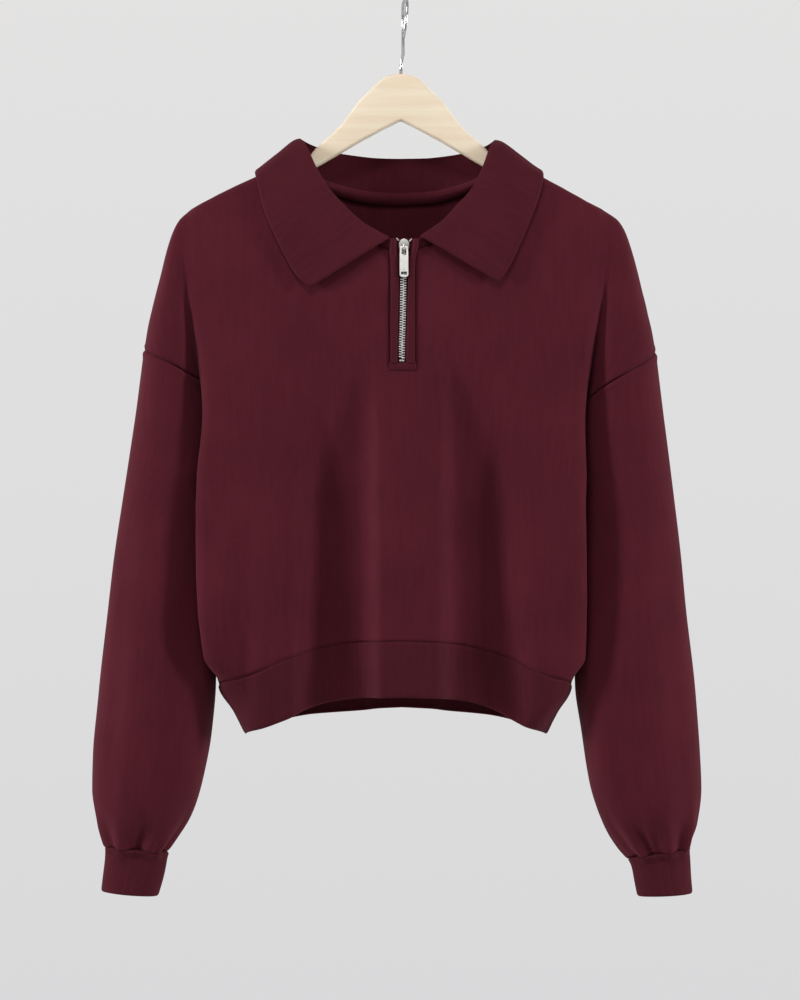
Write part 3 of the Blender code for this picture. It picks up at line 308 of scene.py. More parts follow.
# ---------------------------------------------------------------- the form of the cloth
def fold_reach(table, x, d):
    total = 0.0
    for x_top, x_low, d_top, d_low, left, right, power_left, power_right, height in table.rows:
        s = np.clip((d - d_top) / (d_low - d_top), 0, 1)
        away = x - x_top - (x_low - x_top) * s
        flank = np.where(away < 0, power_left, power_right)
        q = np.abs(away) / np.where(away < 0, left, right)
        total = total + height * ramp(d_top, d_top + 0.8 * (d_low - d_top), d) * np.exp(-(q**flank))
    return total


def reach(face, side, x, d):
    """How far the body's cloth stands before or behind the hanger's plane, x >= 0 from the middle."""
    mid, edge = DEPTH.at(face + "_mid", d), DEPTH.at(face + "_edge", d)
    u = np.clip(np.abs(x) / (BODY.at("corner_" + side, d) - 4), 0, 1.15)
    sign = -1.0 if side == "left" else 1.0
    return edge + (mid - edge) * (1 - u**2.4) + fold_reach(FOLDS[face], sign * x, d)


def bezier(b0, b1, b2, b3, t):
    t = t[None, :, None]
    b0, b1, b2, b3 = (b[:, None, :] for b in (b0, b1, b2, b3))
    return b0 * (1 - t) ** 3 + 3 * b1 * t * (1 - t) ** 2 + 3 * b2 * t * t * (1 - t) + b3 * t**3


def resample(points, n):
    """Each row of points at n equal steps of its length, and its length."""
    step = np.linalg.norm(np.diff(points, axis=1), axis=2)
    run = np.concatenate([np.zeros((len(points), 1)), np.cumsum(step, axis=1)], axis=1)
    out = np.empty((len(points), n, 2))
    for k in range(len(points)):
        want = np.linspace(0, run[k, -1], n)
        for j in (0, 1):
            out[k, :, j] = np.interp(want, run[k], points[k, :, j])
    return out, run[:, -1]


def body_sections(face, side, d, n=420):
    """From x = 0 outwards to the valley or the side seam, for each drop in d."""
    under, above = d >= UNDERARM, d < TIP
    backward = -SIDE_BACKWARD if face == "front" else SIDE_BACKWARD
    vx = np.where(above, OUTLINE.at(side, d), np.where(under, BODY.at("side_" + side, d), VALLEY.at(side, d)))
    vy = np.where(above, 0.0, np.where(under, backward, VALLEY.at(face, d)))
    turn = np.radians(np.where(above, 90.0, np.where(under, BODY.at("turn", d), VALLEY.at("turn_body", d))))
    start = BODY.at("corner_" + side, d) - BODY.at("round", d)
    flat = np.linspace(0, 1, 240)[None, :] * start[:, None]
    flat_y = reach(face, side, flat, d[:, None])
    slope = (flat_y[:, -1] - flat_y[:, -3]) / (flat[:, -1] - flat[:, -3])
    g, v = np.stack([start, flat_y[:, -1]], 1), np.stack([vx, vy], 1)
    chord = np.linalg.norm(v - g, axis=1)
    deep = ramp(300, 425, d) * (1 - ramp(590, 617, d))
    leave = chord * (0.42 + 0.62 * deep)
    b1 = g + np.stack([leave, slope * leave], 1)
    b2 = v + 0.42 * chord[:, None] * np.stack([-np.cos(turn), np.sin(turn)], 1)
    bend = bezier(g, b1, b2, v, np.linspace(0, 1, 120))
    return resample(np.concatenate([np.stack([flat, flat_y], 2)[:, :-1], bend], axis=1), n)


def cap_sections(face, side, d, n=240):
    """From the valley or the sleeve's inner side outwards to the silhouette, for each drop in d."""
    under = d >= UNDERARM
    backward = (-SIDE_BACKWARD if face == "front" else SIDE_BACKWARD) * ramp(200, UNDERARM, d)
    xo = OUTLINE.at(side, d)
    vx = np.where(under, SLEEVE.at(side, d), VALLEY.at(side, d))
    vy = np.where(under, backward, VALLEY.at(face, d))
    turn = np.radians(np.where(under, SLEEVE.at("turn", d), VALLEY.at("turn_cap", d)))
    xa = vx + SLEEVE.at("share", d) * (xo - vx)
    a = np.stack([xa, np.maximum(SLEEVE.at(face, d), vy)], 1)
    v, o = np.stack([vx, vy], 1), np.stack([xo, backward], 1)
    k, zero = 0.5523, 0 * xa
    chord = np.linalg.norm(a - v, axis=1)
    leave = np.where(d > 300, np.maximum(np.abs(a[:, 1] - vy) * k, 0.3 * chord), 0.36 * chord)
    b1 = v + leave[:, None] * np.stack([-np.cos(turn), np.sin(turn)], 1)
    first = bezier(v, b1, a - np.stack([np.abs(xa - vx) * k, zero], 1), a, np.linspace(0, 1, 80))
    c1 = a + np.stack([(xo - xa) * k * 1.12, zero], 1)
    c2 = o + np.stack([zero, (a[:, 1] - backward) * k * 1.12], 1)
    second = bezier(a, c1, c2, o, np.linspace(0, 1, 80))
    return resample(np.concatenate([first[:, :-1], second], axis=1), n)


LEVEL_STEP = 1.5
LEVELS = np.arange(138.0, 772.0, LEVEL_STEP)


class Skin:
    """The outer face of one quarter of the garment. It turns a place on the flat cloth, (drop, distance
    from the middle along the cloth), into a point."""

    def __init__(self, face, side):
        self.face, self.side = face, side
        self.sy, self.sx = (-1 if face == "front" else 1), (-1 if side == "left" else 1)
        self.body, self.body_length = body_sections(face, side, LEVELS)
        self.cap, self.cap_length = cap_sections(face, side, LEVELS)
        self.cap_length = np.where(LEVELS < TIP, 0, self.cap_length)

    def width(self, d):
        return np.interp(d, LEVELS, self.body_length)

    def cap_width(self, d):
        return np.interp(d, LEVELS, self.cap_length)

    def sample(self, grid, share, d):
        at = np.clip((d - LEVELS[0]) / (LEVELS[1] - LEVELS[0]), 0, len(LEVELS) - 1.001)
        i, a = at.astype(int), (at % 1)[:, None]
        q = np.clip(share, 0, 1) * (grid.shape[1] - 1)
        j = np.minimum(q.astype(int), grid.shape[1] - 2)
        b = (q - j)[:, None]
        low = grid[i, j] * (1 - b) + grid[i, j + 1] * b
        high = grid[i + 1, j] * (1 - b) + grid[i + 1, j + 1] * b
        flat = low * (1 - a) + high * a
        return np.stack([self.sx * flat[:, 0], self.sy * flat[:, 1], -d], 1)

    def point(self, d, across):
        """across is the distance from the middle along the cloth, past the valley over the sleeve head."""
        d, across = (np.asarray(v, float).ravel() for v in np.broadcast_arrays(d, across))
        width, cap = self.width(d), self.cap_width(d)
        on_body = self.sample(self.body, across / width, d)
        on_cap = self.sample(self.cap, (across - width) / np.maximum(cap, 1e-6), d)
        return np.where((across > width)[:, None] & (cap > 0)[:, None], on_cap, on_body)

    def on_sleeve(self, d, share):
        d, share = (np.asarray(v, float).ravel() for v in np.broadcast_arrays(d, share))
        return self.sample(self.cap, share, d)

    def across(self, d, x):
        """Distance along the cloth of the point x (>= 0) from the middle, at drop d."""
        i = np.clip(((d - LEVELS[0]) / LEVEL_STEP).astype(int), 0, len(LEVELS) - 1)
        out = np.empty(len(d))
        for k in range(len(d)):
            row = self.body[i[k]]
            flat = row[: np.argmax(row[:, 0]) + 1]
            out[k] = np.interp(x[k], flat[:, 0], np.linspace(0, self.body_length[i[k]], len(row))[: len(flat)])
        return out


SKIN = {(face, side): Skin(face, side) for face in FACES for side in SIDES}


# ---------------------------------------------------------------- flat pieces
def coons(top, bottom, left, right):
    """A grid of rows between four edges of a flat piece."""
    u, v = np.linspace(0, 1, len(top))[None, :, None], np.linspace(0, 1, len(left))[:, None, None]
    corners = (
        (1 - u) * (1 - v) * top[0] + u * (1 - v) * top[-1] + (1 - u) * v * bottom[0] + u * v * bottom[-1]
    )
    return (1 - v) * top[None] + v * bottom[None] + (1 - u) * left[:, None] + u * right[:, None] - corners


def along(points, n):
    """n + 1 points at equal steps along a line of points."""
    run = np.concatenate([[0], np.cumsum(np.linalg.norm(np.diff(points, axis=0), axis=1))])
    want = np.linspace(0, run[-1], n + 1)
    return np.stack([np.interp(want, run, points[:, j]) for j in range(points.shape[1])], 1)


def armhole(face, side, steps):
    """(drop, share of the sleeve head) at equal steps along the armhole seam, down to the underarm."""
    skin = SKIN[face, side]
    share = np.linspace(1, 0, 160)
    head = ARMHOLE.at(side, share)
    d = np.concatenate([head, np.linspace(head[-1], UNDERARM, 160)[1:]])
    share = np.concatenate([share, np.zeros(159)])
    run = np.linalg.norm(np.diff(skin.on_sleeve(d, share), axis=0), axis=1)
    run = np.concatenate([[0], np.cumsum(run)])
    want = np.linspace(0, run[-1], steps + 1)
    return np.interp(want, run, d), np.interp(want, run, share)


def neck_line(face, side):
    """(x, drop) of the neckline from the shoulder to the zip or the middle of the back."""
    rows = COLLAR[side]
    share = np.linspace(0.48, 0.0 if face == "front" else 1.0, 80)
    x, d = np.abs(rows.at("seam_x", share)), rows.at("seam_drop", share)
    if face == "back":
        x = x * (1 - ramp(0.9, 1.0, share))
    return x, d


HEM_GAP = 0.15  # the hem band starts this far below the seam, and the panel ends this far above it


def panel_half(face, side, k, inner, to_level, level):
    """Flat grid (rows, columns, 2) of half a panel as (drop, distance along the cloth), from the side seam
    to the middle or the zip's slot. k is the number of steps for each coarse one."""
    skin = SKIN[face, side]
    x, d = neck_line(face, side)
    d = d + 1.0
    neck = np.stack([d, skin.across(d, x)], 1)
    neck[-1, 1] = inner
    head_d, head_share = armhole(face, side, 10 * k)
    seam = np.stack([head_d, skin.width(head_d) + head_share * skin.cap_width(head_d) - 0.15], 1)
    top_d = np.linspace(seam[0, 0], d[0] + 0.3, 400)
    shoulder = np.stack([top_d, skin.width(top_d) + skin.cap_width(top_d) - 0.05], 1)
    shoulder[0] = seam[0]
    side_d = np.linspace(UNDERARM, HEM.at(face + "_seam", 1.0) - HEM_GAP, 8 * k + 1)[1:]
    side_line = np.stack([side_d, skin.width(side_d) - 0.1], 1)
    top = np.concatenate([along(shoulder, 8 * k), along(neck, 5 * k)[1:]])
    left = np.concatenate([seam, side_line])
    share = np.linspace(1, inner / 235.0, 13 * k + 1)
    bottom_d = HEM.at(face + "_seam", share) - HEM_GAP
    bottom = np.stack([bottom_d, share * skin.width(bottom_d)], 1)
    bottom[-1, 1] = inner
    bottom[0] = left[-1]
    n = len(left) - 1
    middle = np.concatenate(
        [np.linspace(neck[-1, 0], level, to_level + 1), np.linspace(level, bottom[-1, 0], n - to_level + 1)[1:]]
    )
    right = np.stack([middle, np.full(len(middle), inner)], 1)
    return coons(top, bottom, left, right)


# ---------------------------------------------------------------- surfaces
def drift(x, z, scale, seed):
    """Soft unevenness of hanging cloth, between about -1 and 1, the same every time."""
    total = 0.0
    for i in range(6):
        angle = 2.4 * i + seed
        step = scale * (0.75 + 0.16 * i)
        total = total + np.sin((x * math.cos(angle) + z * math.sin(angle)) * 2 * math.pi / step + 1.7 * seed + i * i)
    return total / 3.2


def normals(points, closed=False):
    """Directions square to a grid of points (rows down the cloth, columns across it)."""
    if closed:
        across = np.roll(points, -1, axis=1) - np.roll(points, 1, axis=1)
    else:
        across = np.gradient(points, axis=1)
    n = np.cross(np.gradient(points, axis=0), across)
    return n / np.maximum(np.linalg.norm(n, axis=2, keepdims=True), 1e-9)


def outward(points, closed=False, facing=None):
    """The side of the grid that shows: away from a tube's middle, or the way a piece faces."""
    n = normals(points, closed)
    toward = points - points.mean(axis=1, keepdims=True) if facing is None else np.array(facing)
    return n if (n * toward).sum() > 0 else -n


def cloth(name, points, uv, wall, mat, out, closed=False, keep=None):
    """A grid of points as a smooth sheet with its wall behind it. uv is the place on the flat cloth in
    millimetres, with one more column than points where the grid is closed; keep masks the quads."""
    rows, cols = points.shape[:2]
    last = cols if closed else cols - 1
    i, j = np.meshgrid(np.arange(rows - 1), np.arange(last), indexing="ij")
    i, j = i.ravel(), j.ravel()
    if keep is not None:
        shown = keep.ravel()
        i, j = i[shown], j[shown]
    j1 = (j + 1) % cols
    quads = np.stack([i * cols + j, (i + 1) * cols + j, (i + 1) * cols + j1, i * cols + j1], 1)
    places = np.stack([uv[i, j], uv[i + 1, j], uv[i + 1, j + 1], uv[i, j + 1]], 1) * MM
    if (normals(points, closed) * out).sum() < 0:
        quads, places = quads[:, ::-1], places[:, ::-1]
    used, index = np.unique(quads, return_inverse=True)
    quads = index.reshape(quads.shape)
    mesh = bpy.data.meshes.new(name)
    mesh.from_pydata((points.reshape(-1, 3)[used] * MM).tolist(), [], quads.tolist())
    layer = mesh.uv_layers.new(name="knit")
    layer.data.foreach_set("uv", np.ascontiguousarray(places, np.float32).ravel())
    mesh.materials.append(mat)
    mesh.shade_smooth()
    obj = bpy.data.objects.new(name, mesh)
    bpy.context.scene.collection.objects.link(obj)
    mod = obj.modifiers.new("wall", "SOLIDIFY")
    mod.thickness, mod.offset = wall * MM, -1.0
    return obj


def flat_size(uv, keep=None):
    """Width, length and area in metres of a piece laid flat, from its places on the flat cloth."""
    a, b = uv[:-1, :-1], uv[1:, 1:]
    c, e = uv[1:, :-1], uv[:-1, 1:]
    area = 0.5 * np.abs((b - a)[..., 0] * (c - e)[..., 1] - (b - a)[..., 1] * (c - e)[..., 0])
    if keep is not None:
        area = area * keep
    size = uv.reshape(-1, 2).max(0) - uv.reshape(-1, 2).min(0)
    return float(size[0] * MM), float(size[1] * MM), float(area.sum() * 1e-6)


def panel(face, k):
    """Points, flat places and shown quads of a whole panel, its columns from the viewer's left to right."""
    front = face == "front"
    inner = {"left": SLOT_LEFT, "right": SLOT_RIGHT} if front else {"left": 0.0, "right": 0.0}
    to_level, level = (6 * k, SLOT_END) if front else (6 * k, 360.0)
    half = {side: panel_half(face, side, k, inner[side], to_level, level) for side in SIDES}
    left, right = half["left"], half["right"][:, ::-1]
    n = k
    if front:
        t = np.linspace(0, 1, n + 2)[1:-1][None, :, None]
        a, b = left[:, -1:] * (1, -1), right[:, :1]
        flat = np.concatenate([left * (1, -1), a + (b - a) * t, right], axis=1)  # (drop, signed distance)
    else:
        flat = np.concatenate([left * (1, -1), right[:, 1:]], axis=1)
    d, x = flat[..., 0], flat[..., 1]
    points = np.where(
        (x <= 0)[..., None],
        SKIN[face, "left"].point(d, np.abs(x)).reshape(*d.shape, 3),
        SKIN[face, "right"].point(d, np.abs(x)).reshape(*d.shape, 3),
    )
    keep = np.ones((d.shape[0] - 1, d.shape[1] - 1), bool)
    if front:
        keep[:to_level, left.shape[1] - 1 : left.shape[1] + n] = False
    return points, np.stack([x, -d], 2), keep, left.shape[1], n


def near_edge(points, columns):
    """Distance of each point from the first column of its row, along the cloth, over some columns."""
    step = np.linalg.norm(np.diff(points[:, :columns], axis=1), axis=2)
    return np.concatenate([np.zeros((len(points), 1)), np.cumsum(step, axis=1)], axis=1)


def allowance(points, uv, out, up, back):
    """The grid with a seam allowance before its first row: two rows that turn in behind the piece above."""
    first = points[:1] - points[1:2]
    first = first / np.maximum(np.linalg.norm(first, axis=2, keepdims=True), 1e-9)
    hidden = [points[:1] + first * up * a - out[:1] * back * b for a, b in ((1.0, 1.0), (0.15, 0.9))]
    places = [uv[:1] + (0, up * a) for a in (1.0, 0.15)]
    return np.concatenate([*hidden, points]), np.concatenate([*places, uv]), np.concatenate([out[:1], out[:1], out])


def welt(distance, height, width, groove):
    """A seam's cross-section: a low rounded welt beside the seam, and the seam itself sunk a little."""
    return height * np.exp(-(((distance - width) / width) ** 2)) - groove * np.exp(-((distance / 0.9) ** 2))


def tube(side, k):
    """Points and flat places of a sleeve, from the armhole down to the gathered cuff seam. The columns run
    from the outer fold over the front to the inner side and back."""
    outer, inner = CUFF_TILT[side]
    half, rings = 10 * k, round(14 * k * 1.9)
    parts, around = [], 2 * half
    for face, pick in (("front", slice(0, half + 1)), ("back", slice(half - 1, 0, -1))):
        skin = SKIN[face, side]
        d0, s0 = armhole(face, side, half)
        s0 = np.minimum(s0 + 0.15 / np.maximum(skin.cap_width(d0), 1) * (s0 > 0), 1.0)
        s1 = np.linspace(1, 0, half + 1)
        parts.append((skin, (d0 + 0.3 * ramp(0, 0.2, s0))[pick], s0[pick], s1[pick]))
    points = np.empty((rings + 1, around, 3))
    for i, v in enumerate(np.linspace(0, 1, rings + 1)):
        mix, at = ramp(0, 0.35, v), 0
        for skin, d0, s0, s1 in parts:
            d = d0 + (CUFF_LINE - d0) * v
            p = skin.on_sleeve(d, s0 * (1 - mix) + s1 * mix)
            p[:, 2] -= (outer + (inner - outer) * (1 - s1)) * ramp(640, CUFF_LINE, d)
            points[i, at : at + len(d)] = p
            at += len(d)
    down = np.linalg.norm(np.diff(points, axis=0), axis=2)
    down = np.concatenate([np.zeros((1, around)), np.cumsum(down, axis=0)])
    width = np.linalg.norm(np.roll(points, -1, axis=1) - points, axis=2)
    width = np.concatenate([np.zeros((rings + 1, 1)), np.cumsum(width, axis=1)], axis=1)
    widest = width[:, -1].max()
    u = np.linspace(0, widest, around + 1)[None].repeat(rings + 1, 0)
    v = -np.concatenate([down, down[:, :1]], axis=1)
    return points, np.stack([u, v], 2), width, down


def cuff_tube(side, ring, rings):
    """A rib tube from the sleeve's last ring to the open end."""
    rows, sx = CUFF[side], (-1 if side == "left" else 1)
    middle, half = (ring.max(axis=0) + ring.min(axis=0)) / 2, (ring.max(axis=0) - ring.min(axis=0)) / 2
    c, s = sx * (ring[:, 0] - middle[0]) / half[0], (ring[:, 1] - middle[1]) / half[1]
    size = np.hypot(c, s)
    c, s = c / size, s / size
    points = []
    for share in np.linspace(0, 1, rings + 1):
        outer, inner, outer_d, inner_d, r = (
            float(rows.at(name, share)) for name in ("outer", "inner", "outer_drop", "inner_drop", "reach")
        )
        x = (outer + inner) / 2 + (outer - inner) / 2 * c
        z = -(outer_d + inner_d) / 2 - (outer_d - inner_d) / 2 * c
        made = np.stack([sx * x, SIDE_BACKWARD + r * s, z], 1)
        mix = float(1 - ramp(0, 0.18, share))
        start = ring - (0, 0, 0.3 + 40 * share)
        points.append(made * (1 - mix) + start * mix)
    return np.array(points)


def band(face, k, rows):
    """Points and flat places of the hem band."""
    share = np.concatenate([np.linspace(1, 0, 13 * k + 1), np.linspace(0, 1, 13 * k + 1)[1:]])
    sides = np.array([-1] * (13 * k + 1) + [1] * (13 * k))
    v = np.linspace(0, 1, rows + 1)
    high, low = HEM.at(face + "_seam", share) + HEM_GAP, HEM.at(face + "_edge", share)
    low = low - 3.2 * np.exp(-((((1 - share) * 165) / 3.6) ** 2))  # the band's corners are turned round
    d = high[None] + (low - high)[None] * v[:, None]
    points, across = np.empty((*d.shape, 3)), np.empty(d.shape)
    for side, sign in (("left", -1), ("right", 1)):
        skin, mine = SKIN[face, side], sides == sign
        a = (share[mine] * skin.width(d[:, mine]).reshape(rows + 1, -1)) - 0.1 * share[mine]
        points[:, mine] = skin.point(d[:, mine], a).reshape(rows + 1, -1, 3)
        across[:, mine] = a * sign
    return points, np.stack([across, -d], 2)


def catmull(t, values, at):
    slope = np.gradient(values, t)
    h = np.diff(t)
    i = np.clip(np.searchsorted(t, at, side="right") - 1, 0, len(h) - 1)
    u = (at - t[i]) / h[i]
    return (
        values[i] * (1 + 2 * u) * (1 - u) ** 2 + slope[i] * h[i] * u * (1 - u) ** 2
        + values[i + 1] * u * u * (3 - 2 * u) - slope[i + 1] * h[i] * u * u * (1 - u)
    )


def collar_profile(side, share, n):
    """Points of the collar's visible face at one section: up the stand, over the roll, down the leaf."""
    rows = COLLAR[side]
    seam, roll, edge = (
        np.array([float(rows.at(c + "_x", share)), float(rows.at(c + "_y", share)), -float(rows.at(c + "_drop", share))])
        for c in ("seam", "roll", "edge")
    )
    to_seam, to_edge = seam - roll, edge - roll
    stand, leaf = np.linalg.norm(to_seam), np.linalg.norm(to_edge)
    to_seam, to_edge = to_seam / stand, to_edge / leaf
    away = np.array([0.0, -1.0 if share < 0.48 else 1.0, 0.0]) * (1 - math.exp(-(((share - 0.48) / 0.035) ** 2)))
    away = away + np.array([(-1 if side == "left" else 1) * 0.55, 0, 0.75]) * math.exp(-(((share - 0.48) / 0.05) ** 2))
    away /= np.linalg.norm(away)
    foot = min(3.5, 0.35 * stand)
    inside = roll + to_seam * foot - away * 0.4
    outside = roll + to_edge * 5.0 + away * 2.6
    body = roll + to_edge * leaf * 0.5 + away * (1.6 + 1.5 * math.exp(-(((share - 0.2) / 0.2) ** 2)))
    line = np.array([seam, (seam + inside) / 2 - away * 0.2, inside, roll, outside, body, edge])
    t = np.concatenate([[0], np.cumsum(np.sqrt(np.linalg.norm(np.diff(line, axis=0), axis=1)))])
    dense = np.stack([catmull(t, line[:, j], np.linspace(0, t[-1], 300)) for j in range(3)], 1)
    run = np.concatenate([[0], np.cumsum(np.linalg.norm(np.diff(dense, axis=0), axis=1))])
    top = run[np.argmin(np.linalg.norm(dense - roll, axis=1))]
    a = round(n * 0.3)
    b = round(n * 0.2)
    near = min(4.0, 0.5 * top)
    want = np.concatenate([
        np.linspace(0, top - near, a, endpoint=False), np.linspace(top - near, top + 5, b, endpoint=False),
        np.linspace(top + 5, run[-1], n - a - b),
    ])
    return np.stack([np.interp(want, run, dense[:, j]) for j in range(3)], 1), want, run[-1]


def chest(x, d, out):
    """A point in front of (out > 0) or behind the outer face of the front, at x and drop d."""
    x, d, out = np.broadcast_arrays(np.asarray(x, float), np.asarray(d, float), np.asarray(out, float))
    y = np.where(x < 0, reach("front", "left", np.abs(x), d), reach("front", "right", np.abs(x), d))
    return np.stack([x, -y - out, -d], -1)


# ---------------------------------------------------------------- materials
def knit_material(name, color, wale=1.15, course=0.85, rib=0.0, depth=0.30):
    """Fine jersey knit, or rib where rib is the width of one rib in millimetres. The stitches follow the
    flat cloth, kept in the mesh's "knit" coordinates in metres."""
    mat = bpy.data.materials.new(name)
    mat.use_nodes = True
    nodes, links = mat.node_tree.nodes, mat.node_tree.links
    shader = nodes["Principled BSDF"]
    shader.inputs["Roughness"].default_value = 0.86
    shader.inputs["Specular IOR Level"].default_value = 0.06
    shader.inputs["Sheen Weight"].default_value = 0.06
    shader.inputs["Sheen Roughness"].default_value = 0.45
    shader.inputs["Sheen Tint"].default_value = (1.0, 0.45, 0.50, 1.0)
    place = nodes.new("ShaderNodeUVMap")
    place.uv_map = "knit"
    split = nodes.new("ShaderNodeSeparateXYZ")
    links.new(place.outputs["UV"], split.inputs[0])

    def math_node(kind, a, b=None):
        node = nodes.new("ShaderNodeMath")
        node.operation = kind
        for i, value in enumerate((a, b)):
            if value is None:
                continue
            if isinstance(value, (int, float)):
                node.inputs[i].default_value = value
            else:
                links.new(value, node.inputs[i])
        return node.outputs[0]

    # One stitch: two slanted legs beside the wale's middle line, one pair above the next.
    u = math_node("MULTIPLY", split.outputs["X"], 1000.0 / wale)
    v = math_node("MULTIPLY", split.outputs["Y"], 1000.0 / course)
    beside = math_node("ABSOLUTE", math_node("SUBTRACT", math_node("FRACT", u), 0.5))  # 0 at the middle line
    leg = math_node("SINE", math_node("MULTIPLY", beside, 2 * math.pi))
    turn = math_node("MULTIPLY", math_node("ADD", v, math_node("MULTIPLY", beside, 1.1)), 2 * math.pi)
    stitch = math_node("MULTIPLY_ADD", math_node("COSINE", turn), 0.35)
    stitch.node.inputs[2].default_value = 0.65
    height = math_node("MULTIPLY", leg, stitch)
    if rib:
        across = math_node("MULTIPLY", split.outputs["X"], 1000.0 * 2 * math.pi / rib)
        wave = math_node("MULTIPLY", math_node("SINE", across), 0.8)
        height = math_node("ADD", height, wave)

    # Uneven yarn: faint streaks along the wales, cloudy wear, and heathered fibres. The stitch and rib relief tints
    # the colour too: painted shade in the hollows between legs and ribs, painted light on their raised tops.
    stretch = nodes.new("ShaderNodeMapping")
    stretch.inputs["Scale"].default_value = (260.0, 30.0, 1.0)
    links.new(place.outputs["UV"], stretch.inputs["Vector"])
    streaks = nodes.new("ShaderNodeTexNoise")
    streaks.inputs["Scale"].default_value = 1.0
    streaks.inputs["Detail"].default_value = 3.0
    links.new(stretch.outputs[0], streaks.inputs["Vector"])
    cloud = nodes.new("ShaderNodeTexNoise")
    cloud.inputs["Scale"].default_value = 14.0
    cloud.inputs["Detail"].default_value = 4.0
    links.new(place.outputs["UV"], cloud.inputs["Vector"])
    fibre = nodes.new("ShaderNodeTexNoise")
    fibre.inputs["Scale"].default_value = 900.0
    fibre.inputs["Detail"].default_value = 2.0
    links.new(place.outputs["UV"], fibre.inputs["Vector"])
    mixed = math_node("ADD", math_node("MULTIPLY", streaks.outputs["Fac"], 0.24), math_node("MULTIPLY", cloud.outputs["Fac"], 0.32))
    mixed = math_node("ADD", mixed, math_node("MULTIPLY", fibre.outputs["Fac"], 0.44))
    # Painted shade: the colour follows the stitch and rib height, darker in their hollows and lighter on their tops.
    mixed = math_node("ADD", mixed, math_node("MULTIPLY", height, 0.10))
    ramp_node = nodes.new("ShaderNodeValToRGB")
    low, high = ramp_node.color_ramp.elements
    low.position, high.position = 0.36, 0.72
    low.color = (*(c * 0.74 for c in color), 1)
    high.color = (*(c * 1.24 for c in color), 1)
    links.new(mixed, ramp_node.inputs["Fac"])
    links.new(ramp_node.outputs["Color"], shader.inputs["Base Color"])
    bump = nodes.new("ShaderNodeBump")
    bump.inputs["Strength"].default_value = depth
    bump.inputs["Distance"].default_value = 0.0004
    links.new(height, bump.inputs["Height"])
    fuzz = nodes.new("ShaderNodeBump")
    fuzz.inputs["Strength"].default_value = 0.10
    fuzz.inputs["Distance"].default_value = 0.0003
    links.new(fibre.outputs["Fac"], fuzz.inputs["Height"])
    links.new(bump.outputs["Normal"], fuzz.inputs["Normal"])
    links.new(fuzz.outputs["Normal"], shader.inputs["Normal"])
    return mat


def metal_material(name, color, rough, wear):
    """Polished metal with faint brushing and small worn patches."""
    mat = bpy.data.materials.new(name)
    mat.use_nodes = True
    nodes, links = mat.node_tree.nodes, mat.node_tree.links
    shader = nodes["Principled BSDF"]
    shader.inputs["Metallic"].default_value = 1.0
    place = nodes.new("ShaderNodeTexCoord")
    brushed = nodes.new("ShaderNodeMapping")
    brushed.inputs["Scale"].default_value = (300.0, 300.0, 40.0)
    links.new(place.outputs["Object"], brushed.inputs["Vector"])
    lines = nodes.new("ShaderNodeTexNoise")
    lines.inputs["Scale"].default_value = 1.0
    lines.inputs["Detail"].default_value = 3.0
    links.new(brushed.outputs[0], lines.inputs["Vector"])
    patches = nodes.new("ShaderNodeTexNoise")
    patches.inputs["Scale"].default_value = 260.0
    patches.inputs["Detail"].default_value = 4.0
    links.new(place.outputs["Object"], patches.inputs["Vector"])
    tone = nodes.new("ShaderNodeValToRGB")
    low, high = tone.color_ramp.elements
    low.position, high.position = 0.35, 0.65
    low.color = (*(c * wear for c in color), 1)
    high.color = (*color, 1)
    links.new(patches.outputs["Fac"], tone.inputs["Fac"])
    links.new(tone.outputs["Color"], shader.inputs["Base Color"])
    sheen = nodes.new("ShaderNodeMapRange")
    sheen.inputs["To Min"].default_value = rough * 0.75
    sheen.inputs["To Max"].default_value = rough * 1.35
    links.new(lines.outputs["Fac"], sheen.inputs["Value"])
    links.new(sheen.outputs[0], shader.inputs["Roughness"])
    bump = nodes.new("ShaderNodeBump")
    bump.inputs["Strength"].default_value = 0.03
    bump.inputs["Distance"].default_value = 0.0001
    links.new(lines.outputs["Fac"], bump.inputs["Height"])
    links.new(bump.outputs["Normal"], shader.inputs["Normal"])
    return mat


